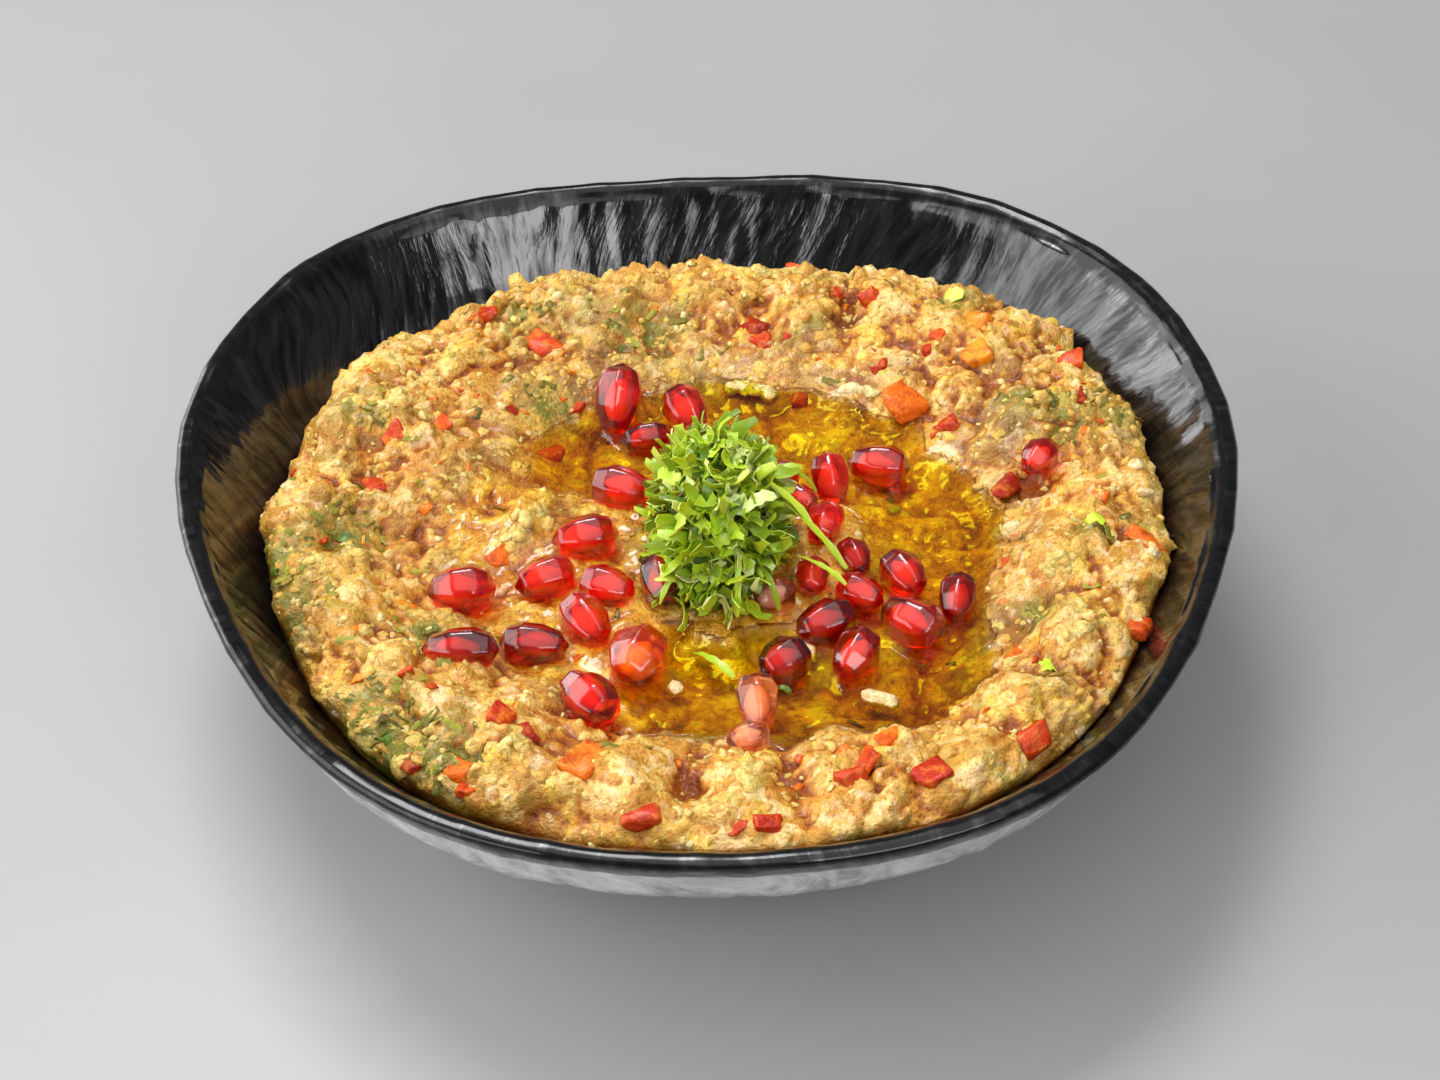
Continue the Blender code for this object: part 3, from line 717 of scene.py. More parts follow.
# Painted shade: the pulp is darkened in the low spots of the fine grain, where the bump has its hollows.
grain_hollow_shade = pulp.ramp(grain, (0.36, (0.72, 0.56, 0.34)), (0.50, (1.0, 1.0, 1.0)))
base = pulp.blend(1.0, base, grain_hollow_shade, "MULTIPLY")
herb = pulp.sum(pulp.painted("green"), pulp.range(mottle, 0.40, 0.54, 0.0, 1.0), "MULTIPLY")
base = pulp.blend(herb, base, (0.19, 0.175, 0.015))
base = pulp.blend(pulp.painted("soaked"), base, (1.0, 0.95, 0.34), "MULTIPLY")
pulp.put("Base Color", base)
soak = pulp.painted("soaked")
dry_roughness = pulp.range(grain, 0.35, 0.7, 0.30, 0.58)
pulp.put("Roughness", pulp.sum(dry_roughness, pulp.sum(soak, 0.16, "MULTIPLY"), "SUBTRACT"))
pulp.put("Coat Weight", pulp.range(soak, 0.0, 1.0, 0.22, 0.85))
pulp.bump(pulp.sum(grain, pulp.noise(0.0006, 2.0)), 0.6, 0.0007)
pulp.set(Subsurface_Weight=0.35, Subsurface_Scale=0.0015, Coat_Roughness=0.10, Specular_IOR_Level=0.35)
dip.data.materials.append(pulp.material)
adopt(dip, "aubergine_dip", "baba_ganoush")
print("dip coloured")

# %% [markdown]
# ## Copies scattered over the dip
# Grains, diced pepper, herbs and leaves are each modelled once and then copied, every copy turned,
# stretched and given a tone of its own. The copies of one kind are written into a single mesh, so
# that the kind stays one piece. To set a copy down, a ray dropped from above finds the dip under it.

# %% Find the dip below a place
dip_tree = BVHTree.FromPolygons(points_of(dip).tolist(), [list(face.vertices) for face in dip.data.polygons])


def ground(x, y):
    """Point and normal of the dip's surface under a place, or None outside the bowl."""
    point, normal, _, _ = dip_tree.ray_cast(Vector((x, y, 80 * MM)), Vector((0, 0, -1)))
    return (point, normal) if point and point.z > 28 * MM else None


print("dip under the well's middle:", ground(*WELL_CENTRE)[0].z)

# %% Scatter copies of one pattern


def facing(normal, heading):
    """Rotation that lays a pattern's flat side on a surface, turned to a heading."""
    upright = Vector(normal).normalized()
    tilt = Vector((0, 0, 1)).rotation_difference(upright).to_matrix()
    return tilt @ Matrix.Rotation(heading, 3, "Z")


def scatter(name, pattern, places):
    """One piece from copies of a pattern: each place is (point, rotation, scale, tone)."""
    shape = points_of(pattern)
    faces = [tuple(face.vertices) for face in pattern.data.polygons]
    blocks = []
    all_faces = []
    tones = []
    for count, (point, rotation, scale, tone) in enumerate(places):
        turned = np.array(rotation) @ (shape * np.array(scale)).T
        blocks.append(turned.T + np.array(point))
        start = count * len(shape)
        all_faces += [tuple(start + corner for corner in face) for face in faces]
        tones += [tone] * len(shape)
    mesh = bpy.data.meshes.new(name)
    mesh.from_pydata(np.concatenate(blocks).tolist(), [], all_faces)
    piece = bpy.data.objects.new(name, mesh)
    bpy.context.scene.collection.objects.link(piece)
    paint(piece, "tone", tones)
    mesh.shade_smooth()
    print(name, "has", len(places), "copies,", len(mesh.polygons), "faces")
    return piece


def discard(pattern):
    bpy.data.objects.remove(pattern, do_unlink=True)


# %% [markdown]
# ## Loose pulp
# Grains of aubergine pulp stand up out of the paste. A low ball is squeezed flat and long, and a second
# pass of noise dents all the copies at once, so that no two look alike.

# %% Grains of pulp
deselect_everything()
bpy.ops.mesh.primitive_cube_add(size=1.5)
grain_pattern = bpy.context.object
subdivide = grain_pattern.modifiers.new("subdivide", "SUBSURF")
subdivide.levels = 1
subdivide.render_levels = 1
bpy.ops.object.modifier_apply(modifier="subdivide")
shape = points_of(grain_pattern)
move_points(grain_pattern, shape / np.linalg.norm(shape, axis=1)[:, None])


def pulp_places(count, smallest, largest, sink):
    """Places for lumps of pulp on the dip: many on the ridge, few on the bed, none under oil."""
    places = []
    while len(places) < count:
        spin = dice.uniform(0, math.tau)
        away = 85 * MM * math.sqrt(dice.random())
        place = ground(AXIS_X + away * math.cos(spin), AXIS_Y + away * math.sin(spin))
        if not place or place[0].z < OIL_LEVEL:
            continue
        point, normal = place
        if (point.to_2d() - Vector(WELL_CENTRE)).length < 46 * MM and dice.random() > 0.30:
            continue
        size = (smallest + (largest - smallest) * dice.random() ** 1.6) * MM
        scale = (size * dice.uniform(1.0, 1.6), size, size * dice.uniform(0.7, 1.0))
        turn = facing(normal, dice.uniform(0, math.tau)) @ Matrix.Rotation(dice.uniform(-0.5, 0.5), 3, "X")
        tone = dice.random() * (0.95 if size < 1.2 * MM else 0.60)
        places.append((point - normal * size * sink, turn, scale, tone))
    return places


def dent(piece, pitch, depth):
    """Noise pushes a joined piece's points about, so that no two copies stay alike."""
    points = points_of(piece)
    push = np.stack([noise_at(points, pitch, seed) for seed in (21, 22, 23)], 1)
    move_points(piece, points + push * depth)


def floating(x, y, sink=0.3):
    """Point and normal where something lies: on the dip, or on the oil where that is higher."""
    place = ground(x * MM, y * MM)
    if place and place[0].z < OIL_LEVEL:
        return Vector((x * MM, y * MM, OIL_LEVEL - sink * MM)), Vector((0, 0, 1))
    return place


# Larger lumps and pale seeds: x, y, length, width in mm, heading in degrees, tone (1 is cream)
CHUNKS = (
    (28.7, -45.5, 7.6, 3.2, -25, 1.0), (17.3, -34.0, 5.6, 1.8, -62, 1.0), (-4.8, -43.0, 3.0, 2.6, 0, 1.0),
    (-34.2, -8.4, 6.0, 4.4, 50, 0.85), (-31.6, -4.6, 6.4, 4.8, 66, 0.90), (-29.6, -0.8, 5.0, 3.6, 80, 0.80),
    (-34.8, -19.3, 3.4, 2.4, 20, 1.0), (-38.0, -22.5, 2.6, 1.8, -40, 0.95), (6.2, 39.6, 4.4, 2.4, 5, 0.97),
    (10.8, 38.0, 4.0, 2.6, -15, 0.92), (26.7, 37.2, 5.4, 2.4, -12, 1.0), (30.3, 35.3, 4.6, 2.0, -30, 0.97),
    (53.9, -2.8, 3.6, 2.6, 0, 1.0), (-57.0, 24.0, 7.0, 3.4, 60, 0.90), (-45.0, -60.0, 5.0, 4.0, 10, 0.75),
    (-29.0, -66.0, 6.4, 4.6, 0, 0.85), (7.0, -68.0, 6.0, 4.4, 80, 0.80), (40.0, -58.0, 5.0, 4.0, 40, 0.75),
    (60.0, -20.0, 6.0, 4.4, 70, 0.80), (62.0, -36.0, 5.0, 3.6, 60, 0.90), (-20.0, 68.0, 6.0, 4.0, 20, 0.80),
    (12.0, 66.0, 6.6, 4.0, -10, 0.85), (-52.0, 34.0, 5.0, 3.8, 50, 0.90), (-66.0, -20.0, 4.6, 3.6, 80, 0.70),
    (76.5, 8.6, 3.2, 2.4, 60, 1.0), (77.4, 2.0, 2.6, 2.2, 20, 1.0), (76.6, -16.6, 3.4, 2.2, 40, 1.0),
    (72.6, -30.0, 2.8, 2.2, 0, 1.0), (60.6, -55.6, 3.4, 2.0, 35, 1.0),
)
chunks = []
for x, y, length, width, heading, tone in CHUNKS:
    turn = math.radians(heading)
    for _ in range(1 if tone == 1.0 else 9):
        if tone == 1.0:
            point, normal = floating(x, y)
            scale = (length / 2 * MM, width / 2 * MM, width * 0.42 * MM)
        else:
            along = dice.gauss(0, 0.26) * length
            across = dice.gauss(0, 0.26) * width
            point, normal = floating(x + along * math.cos(turn) - across * math.sin(turn),
                                     y + along * math.sin(turn) + across * math.cos(turn))
            point = point - normal * 0.3 * MM
            size = dice.uniform(0.8, 1.5) * MM
            scale = (size * dice.uniform(1.0, 1.5), size, size * dice.uniform(0.6, 0.9))
        shown = tone if tone == 1.0 else tone - dice.uniform(0.05, 0.30)
        chunks.append((point, facing(normal, turn + dice.uniform(-0.5, 0.5)), scale, shown))
pulp_lumps = scatter("pulp_lumps", grain_pattern, pulp_places(460, 0.8, 1.9, 0.70) + chunks)
dent(pulp_lumps, 2.0 * MM, 0.9 * MM)
pulp_grains = scatter("pulp_grains", grain_pattern, pulp_places(1500, 0.35, 0.85, 0.40))
dent(pulp_grains, 1.0 * MM, 0.45 * MM)
discard(grain_pattern)

# %% Grain colours
grain_skin = Recipe("pulp_grains")
tone = grain_skin.painted("tone")
grain_tone = grain_skin.ramp(tone, (0.0, (0.62, 0.33, 0.05)), (0.25, (0.73, 0.43, 0.08)),
                             (0.55, (0.83, 0.55, 0.13)), (0.80, (0.88, 0.64, 0.22)),
                             (1.0, (0.90, 0.72, 0.40)))
speck = grain_skin.noise(0.0013, 3.0, 0.6)
speck_share = grain_skin.range(speck, 0.60, 0.38, 0.0, 0.6)
grain_skin.put("Base Color", grain_skin.blend(speck_share, grain_tone, (0.56, 0.29, 0.05)))
grain_skin.put("Roughness", grain_skin.range(speck, 0.3, 0.7, 0.32, 0.55))
grain_skin.bump(grain_skin.sum(speck, grain_skin.noise(0.0006, 2.0)), 0.8, 0.0007)
grain_skin.set(Subsurface_Weight=0.3, Subsurface_Scale=0.002, Coat_Weight=0.20, Coat_Roughness=0.10)
grain_skin.set(Specular_IOR_Level=0.35)
for piece in (pulp_lumps, pulp_grains):
    piece.data.materials.append(grain_skin.material)
    adopt(piece, "aubergine_dip")

# %% [markdown]
# ## Diced pepper
# Red and orange pepper is cut by hand into dice four to eight millimetres wide. A cube gets its
# corners pulled about and its edges rounded. The dice stand where the cook left them, half sunk.

# %% Pepper dice
# x, y, length, width in mm, heading in degrees, tone (0 dark red, 0.35 red, 0.7 orange, 1 yellow-orange)
PEPPER = (
    (-31.2, 47.9, 7.0, 4.6, -50, 0.45), (-56.4, 16.1, 4.4, 3.0, 30, 0.40), (-59.0, 3.9, 4.6, 3.4, -70, 0.35),
    (-41.7, 53.4, 3.6, 2.4, 20, 0.35), (-35.7, 27.5, 2.6, 2.2, 0, 0.20), (-48.0, 21.2, 3.4, 2.6, 60, 0.55),
    (-28.4, 20.7, 4.6, 2.8, 10, 0.45), (-24.1, 30.9, 3.0, 2.0, 70, 0.30), (-8.4, 74.0, 5.2, 3.0, 5, 0.40),
    (-35.7, -12.0, 4.8, 3.4, 30, 0.65), (-66.5, -10.8, 2.4, 1.8, 0, 0.40), (8.5, 52.7, 5.0, 3.0, -60, 0.10),
    (10.4, 48.2, 4.0, 3.2, -70, 0.30), (30.7, 57.5, 3.6, 2.8, 10, 0.35), (17.5, 72.0, 3.8, 2.4, 0, 0.55),
    (25.0, 63.8, 3.0, 2.4, 50, 0.30), (51.2, 50.3, 4.8, 4.0, 70, 0.85), (50.4, 40.2, 5.4, 4.2, 20, 0.92),
    (43.8, 47.1, 3.0, 2.4, 45, 0.50), (41.3, 43.9, 3.8, 2.4, 80, 0.25), (31.9, 39.4, 2.6, 2.2, 0, 0.25),
    (36.3, 31.0, 7.8, 5.6, -55, 0.68), (44.0, 25.2, 4.4, 3.4, 15, 0.28), (17.4, 37.0, 4.2, 2.8, 70, 0.30),
    (67.6, 38.8, 4.6, 4.0, 0, 0.50), (68.4, 25.7, 4.6, 1.8, 80, 0.10), (53.9, 8.3, 5.8, 3.4, 55, 0.18),
    (59.9, -0.7, 3.6, 1.4, 75, 0.75), (76.1, -12.0, 6.8, 4.8, -50, 0.66), (-32.3, -58.1, 4.6, 3.6, 60, 0.32),
    (-28.3, -60.9, 3.4, 2.6, -60, 0.20), (-18.8, -67.3, 7.4, 4.8, 48, 0.72),
    (-38.1, -67.3, 3.8, 3.0, 60, 0.65), (-37.4, -70.9, 4.0, 2.6, -20, 0.50),
    (-46.8, -65.0, 3.4, 2.2, 40, 0.12), (-9.5, -77.6, 6.8, 3.2, 10, 0.35),
    (-58.2, -37.3, 2.0, 1.6, 0, 0.70), (72.0, -30.7, 6.2, 4.8, 65, 0.50), (52.3, -60.8, 5.6, 4.2, 35, 0.42),
    (25.2, -66.2, 4.8, 3.2, 25, 0.48), (23.1, -69.7, 5.0, 3.0, 15, 0.40), (21.4, -64.0, 5.2, 2.0, 60, 0.70),
    (29.0, -63.3, 3.8, 2.8, 20, 0.62), (36.0, -70.0, 5.2, 3.4, 30, 0.28), (9.7, -78.6, 4.4, 2.4, 5, 0.30),
    (5.2, -79.0, 3.4, 2.2, 0, 0.45), (51.5, -36.7, 4.6, 2.4, 30, 0.62), (50.7, -24.1, 2.6, 1.8, 0, 0.70),
)
deselect_everything()
bpy.ops.mesh.primitive_cube_add(size=1.0)
cube = bpy.context.object
cut_corners = points_of(cube)
cut_corners += np.array([[dice.uniform(-0.14, 0.14) for _ in range(3)] for _ in range(8)])
move_points(cube, cut_corners)
soften = cube.modifiers.new("soften", "BEVEL")
soften.width = 0.16
soften.segments = 2
bpy.ops.object.modifier_apply(modifier="soften")
pieces = []
for x, y, length, width, heading, tone in PEPPER:
    place = ground(x * MM, y * MM)
    if place:
        thick = min(width, 3.0) * 0.8
        turn = facing(place[1] + Vector((0, 0, 1.2)), math.radians(heading))
        turn = turn @ Matrix.Rotation(dice.uniform(-0.3, 0.3), 3, "X")
        turn = turn @ Matrix.Rotation(dice.uniform(-0.25, 0.25), 3, "Y")
        scale = (length * MM, width * MM, thick * MM)
        pieces.append((place[0] - place[1] * thick * 0.18 * MM, turn, scale, tone))
for _ in range(90):
    spin = dice.uniform(0, math.tau)
    away = dice.uniform(0.50, 0.98) * 80 * MM
    place = ground(AXIS_X + away * math.cos(spin), AXIS_Y + away * math.sin(spin))
    if place and place[0].z > OIL_LEVEL:
        size = dice.uniform(0.7, 1.7) * MM
        turn = facing(place[1], dice.uniform(0, math.tau))
        scale = (size * dice.uniform(1.0, 1.8), size, size * 0.7)
        tone = dice.choice((0.3, 0.5, 0.65, 0.75, 0.85))
        pieces.append((place[0] - place[1] * 0.3 * size, turn, scale, tone))
diced_pepper = scatter("diced_pepper", cube, pieces)
discard(cube)
dent(diced_pepper, 2.2 * MM, 1.3 * MM)

# %% Pepper flesh
pepper = Recipe("pepper_flesh")
tone = pepper.painted("tone")
flesh = pepper.ramp(tone, (0.0, (0.20, 0.008, 0.002)), (0.30, (0.48, 0.024, 0.003)),
                    (0.50, (0.62, 0.062, 0.004)), (0.72, (0.80, 0.16, 0.005)), (1.0, (0.88, 0.34, 0.010)))
pale_share = pepper.range(pepper.noise(0.0020, 3.0, 0.6), 0.48, 0.68, 0.0, 0.50)
mottled = pepper.blend(pale_share, flesh, (0.88, 0.30, 0.03))
dark_share = pepper.range(pepper.noise(0.0026, 3.0, 0.6, 0.5), 0.52, 0.40, 0.0, 0.55)
pepper.put("Base Color", pepper.blend(dark_share, mottled, (0.30, 0.012, 0.003)))
pepper.put("Roughness", pepper.range(pepper.noise(0.0015), 0.3, 0.7, 0.34, 0.55))
pepper.bump(pepper.sum(pepper.noise(0.0014, 3.0), pepper.noise(0.0006, 2.0)), 0.6, 0.0006)
pepper.set(Subsurface_Weight=0.2, Subsurface_Scale=0.002, Coat_Weight=0.22, Coat_Roughness=0.16)
pepper.set(Specular_IOR_Level=0.20)
diced_pepper.data.materials.append(pepper.material)
adopt(diced_pepper, "aubergine_dip")

# %% [markdown]
# ## Herbs in the dip
# Chopped herbs were stirred in. They show as thin dark flecks, thick in a few places near the wall and
# rare elsewhere. A fleck is a flat leaf scrap with a ragged outline, bent and laid on the dip.

# %% Leaf scraps


def leaf_scrap(name, outline, fold, curl, twist=0.0, cut=1.0):
    """A scrap of leaf with an outline of (along, across) points, folded, curled and twisted.

    The far side is cut back to a share of the outline's width, as a knife leaves it.
    """
    deselect_everything()
    shape = bmesh.new()
    spine = [shape.verts.new((along, 0.0, 0.0)) for along, _ in outline]
    for side in (1.0, -cut):
        edge = [shape.verts.new((along, side * across, 0.0)) for along, across in outline]
        for place in range(len(outline) - 1):
            corners = [spine[place], spine[place + 1], edge[place + 1], edge[place]]
            shape.faces.new(corners if side < 0 else corners[::-1])
    bmesh.ops.remove_doubles(shape, verts=shape.verts, dist=0.001)
    for vert in shape.verts:
        along, across, _ = vert.co
        lift = fold * abs(across) + 0.12 * math.sin(6.0 * along + 3.0 * across) * abs(across)
        turn = twist * along
        bow = curl * along
        vert.co.y = across * math.cos(turn) - lift * math.sin(turn)
        lift = across * math.sin(turn) + lift * math.cos(turn)
        vert.co.x = along * math.cos(bow) - lift * math.sin(bow)
        vert.co.z = along * math.sin(bow) + lift * math.cos(bow)
    mesh = bpy.data.meshes.new(name)
    shape.to_mesh(mesh)
    shape.free()
    scrap = bpy.data.objects.new(name, mesh)
    bpy.context.scene.collection.objects.link(scrap)
    choose(scrap)
    thicken = scrap.modifiers.new("thicken", "SOLIDIFY")
    thicken.thickness = 0.035
    thicken.offset = 0.0
    bpy.ops.object.modifier_apply(modifier="thicken")
    return scrap


LEAFLET = ((-1.0, 0.30), (-0.72, 0.62), (-0.50, 0.26), (-0.20, 0.70), (0.02, 0.30), (0.34, 0.60),
           (0.56, 0.20), (1.0, 0.0))
RIBBON = ((-1.0, 0.14), (-0.72, 0.22), (-0.42, 0.17), (-0.12, 0.23), (0.18, 0.17), (0.48, 0.24),
          (0.75, 0.16), (1.0, 0.10))
TORN_SCRAP = ((-0.8, 0.45), (-0.45, 0.70), (-0.15, 0.48), (0.20, 0.62), (0.50, 0.40), (0.80, 0.48))
scrap = leaf_scrap("scrap", TORN_SCRAP, 0.3, 0.25)
flecks = []
for x, y, radius, count in HERB_PATCHES:
    for _ in range(count):
        spin = dice.uniform(0, math.tau)
        away = radius * math.sqrt(dice.random())
        place = ground((x + away * math.cos(spin)) * MM, (y + away * math.sin(spin)) * MM)
        if place and (place[0].z > OIL_LEVEL or dice.random() < 0.3):
            size = (0.35 + 1.1 * dice.random() ** 2) * MM
            turn = facing(place[1], dice.uniform(0, math.tau))
            turn = turn @ Matrix.Rotation(dice.uniform(-0.6, 0.6), 3, "X")
            scale = (size * dice.uniform(1.0, 2.2), size, size)
            flecks.append((place[0] - place[1] * 0.05 * MM, turn, scale, dice.random() * 0.45))
herb_flecks = scatter("herb_flecks", scrap, flecks)
discard(scrap)

# %% Leaf green
leaf = Recipe("parsley_leaf")
tone = leaf.painted("tone")
green = leaf.ramp(tone, (0.0, (0.026, 0.056, 0.002)), (0.35, (0.115, 0.20, 0.003)),
                  (0.62, (0.32, 0.49, 0.008)), (0.85, (0.58, 0.70, 0.028)), (1.0, (0.86, 0.86, 0.34)))
vein = leaf.noise(0.0009, 3.0, 0.6)
leaf.put("Base Color", leaf.blend(leaf.range(vein, 0.35, 0.7, 0.0, 0.35), green, (0.25, 0.42, 0.03)))
leaf.put("Roughness", leaf.range(vein, 0.3, 0.7, 0.28, 0.5))
leaf.bump(vein, 0.4, 0.0003)
leaf.set(Subsurface_Weight=0.25, Subsurface_Scale=0.001, Coat_Weight=0.15, Coat_Roughness=0.2)
print("leaf green mixed")

# %% [markdown]
# Herbs that were stirred into the dip have gone dull and olive, and oil has soaked into them. They get a
# finish of their own, darker and rougher than the fresh leaves of the heap.

# %% Stirred-in herbs
stewed = Recipe("stirred_herb")
tone = stewed.painted("tone")
stewed_tone = stewed.ramp(tone, (0.0, (0.060, 0.062, 0.005)), (0.25, (0.16, 0.155, 0.010)),
                          (0.45, (0.36, 0.35, 0.03)))
faded = stewed.range(stewed.noise(0.0009, 3.0), 0.4, 0.7, 0.0, 0.4)
stewed.put("Base Color", stewed.blend(faded, stewed_tone, (0.36, 0.30, 0.09)))
stewed.bump(stewed.noise(0.0006, 2.0), 0.5, 0.0004)
stewed.set(Roughness=0.55, Subsurface_Weight=0.2, Subsurface_Scale=0.001, Specular_IOR_Level=0.25)
herb_flecks.data.materials.append(stewed.material)
adopt(herb_flecks, "aubergine_dip")

# %% [markdown]
# ## Olive oil
# Oil lies level in the moat, and its outline is wherever the dip dips under it. So the pool is
# found by asking, over a fine grid, how deep the dip is below the oil's level. A second skin closes the pool
# just inside the dip. Clear oil is only dark where it is deep, and its depth is painted on its points.

# %% Fill the pool
low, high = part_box("olive_oil")
POOL_STEP = 0.7 * MM
columns = int((high.x - low.x + 8 * MM) / POOL_STEP)
rows = int((high.y - low.y + 8 * MM) / POOL_STEP)
deselect_everything()
bpy.ops.mesh.primitive_grid_add(x_subdivisions=columns, y_subdivisions=rows, size=1.0)
oil = bpy.context.object
oil.name = "oil_pool"
points = points_of(oil)
points[:, 0] = (low.x + high.x) / 2 + points[:, 0] * columns * POOL_STEP
points[:, 1] = (low.y + high.y) / 2 + points[:, 1] * rows * POOL_STEP
floors = np.array([(ground(px, py) or (Vector((0, 0, 1)), 0))[0].z for px, py, _ in points])
depths = OIL_LEVEL - floors
points[:, 2] = OIL_LEVEL
move_points(oil, points)
shape = bmesh.new()
shape.from_mesh(oil.data)
shape.verts.ensure_lookup_table()
dry = [face for face in shape.faces if max(depths[corner.index] for corner in face.verts) < 0.0]
deep_layer = shape.verts.layers.float.new("depth")
for vert in shape.verts:
    vert[deep_layer] = depths[vert.index]
bmesh.ops.delete(shape, geom=dry, context="FACES")
print("pool has", len(shape.faces), "faces")

# %% Keep the pool and drop the stray puddles
left = set(shape.faces)
while left:
    puddle = {left.pop()}
    search = list(puddle)
    while search:
        face = search.pop()
        near = {other for edge in face.edges for other in edge.link_faces} & left
        left -= near
        puddle |= near
        search += near
    if len(puddle) < 60:
        bmesh.ops.delete(shape, geom=list(puddle), context="FACES")
top = list(shape.faces)
lower = bmesh.ops.extrude_face_region(shape, geom=top)
lower_verts = {item for item in lower["geom"] if isinstance(item, bmesh.types.BMVert)}
for vert in shape.verts:
    depth = vert[deep_layer]
    if vert in lower_verts:
        creep = 0.35 * MM * math.exp(-max(depth, 0.0) / (0.35 * MM))
        vert.co.z = OIL_LEVEL + creep + 0.05 * MM * noise.noise(vert.co / (9 * MM))
    else:
        vert.co.z = OIL_LEVEL - max(depth, 0.0) - 0.12 * MM
bmesh.ops.recalc_face_normals(shape, faces=shape.faces)
shape.to_mesh(oil.data)
depth_mm = [max(vert[deep_layer], 0.0) / MM for vert in shape.verts]
shape.free()
oil.data.attributes.remove(oil.data.attributes["depth"])
paint(oil, "depth_mm", depth_mm)
oil.data.shade_smooth()
print("oil up to", round(max(depth_mm), 1), "mm deep")

# %% Clear oil
amber = Recipe("olive_oil")
amber.set(Base_Color=(1.0, 1.0, 1.0, 1.0), Roughness=0.03, IOR=1.47, Metallic=1.0)
share = amber.sum(amber.painted("depth_mm"), 4.0, "DIVIDE")
stain = amber.ramp(share, (0.0, (1.0, 0.98, 0.88)), (0.12, (0.99, 0.97, 0.40)), (0.4, (1.0, 0.98, 0.15)),
                   (0.9, (0.92, 0.78, 0.06)))
clear = amber.node("ShaderNodeBsdfTransparent", Color=stain)
mirror = amber.node("ShaderNodeFresnel", IOR=1.47)
film = amber.node("ShaderNodeMixShader", Fac=mirror.outputs["Fac"])
amber.tree.links.new(clear.outputs["BSDF"], film.inputs[1])
amber.tree.links.new(amber.shader.outputs["BSDF"], film.inputs[2])
amber.tree.links.new(film.outputs["Shader"], amber.output.inputs["Surface"])
oil.data.materials.append(amber.material)
adopt(oil, "olive_oil", "olive_oil")

# %% [markdown]
# ## Pomegranate arils
# An aril is a seed in a bag of clear crimson juice, pressed into facets by its neighbours and pointed
# where it hung from the rind. The plain model has its facets. A merged copy is subdivided, with its
# edges held a little, and a pale kernel goes inside. Light passes the gel and is coloured on the way.

# %% Gel materials


def gel(name, tint, thickness, surface):
    """Clear wet jelly: smooth skin over a volume that swallows all but its tint."""
    jelly = Recipe(name)
    jelly.set(Base_Color=(*surface, 1.0), Roughness=0.22, IOR=1.38, Transmission_Weight=1.0)
    jelly.set(Coat_Weight=1.0, Coat_Roughness=0.025)
    jelly.bump(jelly.noise(0.0022, 2.0), 0.12, 0.0004)
    swallow = jelly.node("ShaderNodeVolumeAbsorption", Color=(*tint, 1.0), Density=thickness)
    jelly.tree.links.new(swallow.outputs["Volume"], jelly.output.inputs["Volume"])
    path = jelly.tree.nodes.new("ShaderNodeLightPath")
    through = jelly.node("ShaderNodeBsdfTransparent", Color=(*(part * 0.5 for part in tint), 1.0))
    mix = jelly.node("ShaderNodeMixShader", Fac=path.outputs["Is Shadow Ray"])
    jelly.tree.links.new(jelly.shader.outputs["BSDF"], mix.inputs[1])
    jelly.tree.links.new(through.outputs["BSDF"], mix.inputs[2])
    jelly.tree.links.new(mix.outputs["Shader"], jelly.output.inputs["Surface"])
    return jelly.material


GELS = {
    "crimson": gel("gel_crimson", (0.93, 0.075, 0.045), 500.0, (0.95, 0.42, 0.36)),
    "garnet": gel("gel_garnet", (0.80, 0.035, 0.05), 620.0, (0.84, 0.28, 0.28)),
    "amber": gel("gel_amber", (0.98, 0.50, 0.04), 330.0, (1.0, 0.78, 0.42)),
    "blush": gel("gel_blush", (0.94, 0.58, 0.44), 300.0, (0.99, 0.80, 0.72)),
}
SPECIAL = {3: "garnet", 6: "crimson", 9: "garnet", 11: "garnet", 12: "garnet", 14: "amber", 16: "blush",
           17: "blush", 18: "garnet", 21: "blush", 28: "garnet", 20: "garnet", 26: "garnet"}
print("gels:", list(GELS))

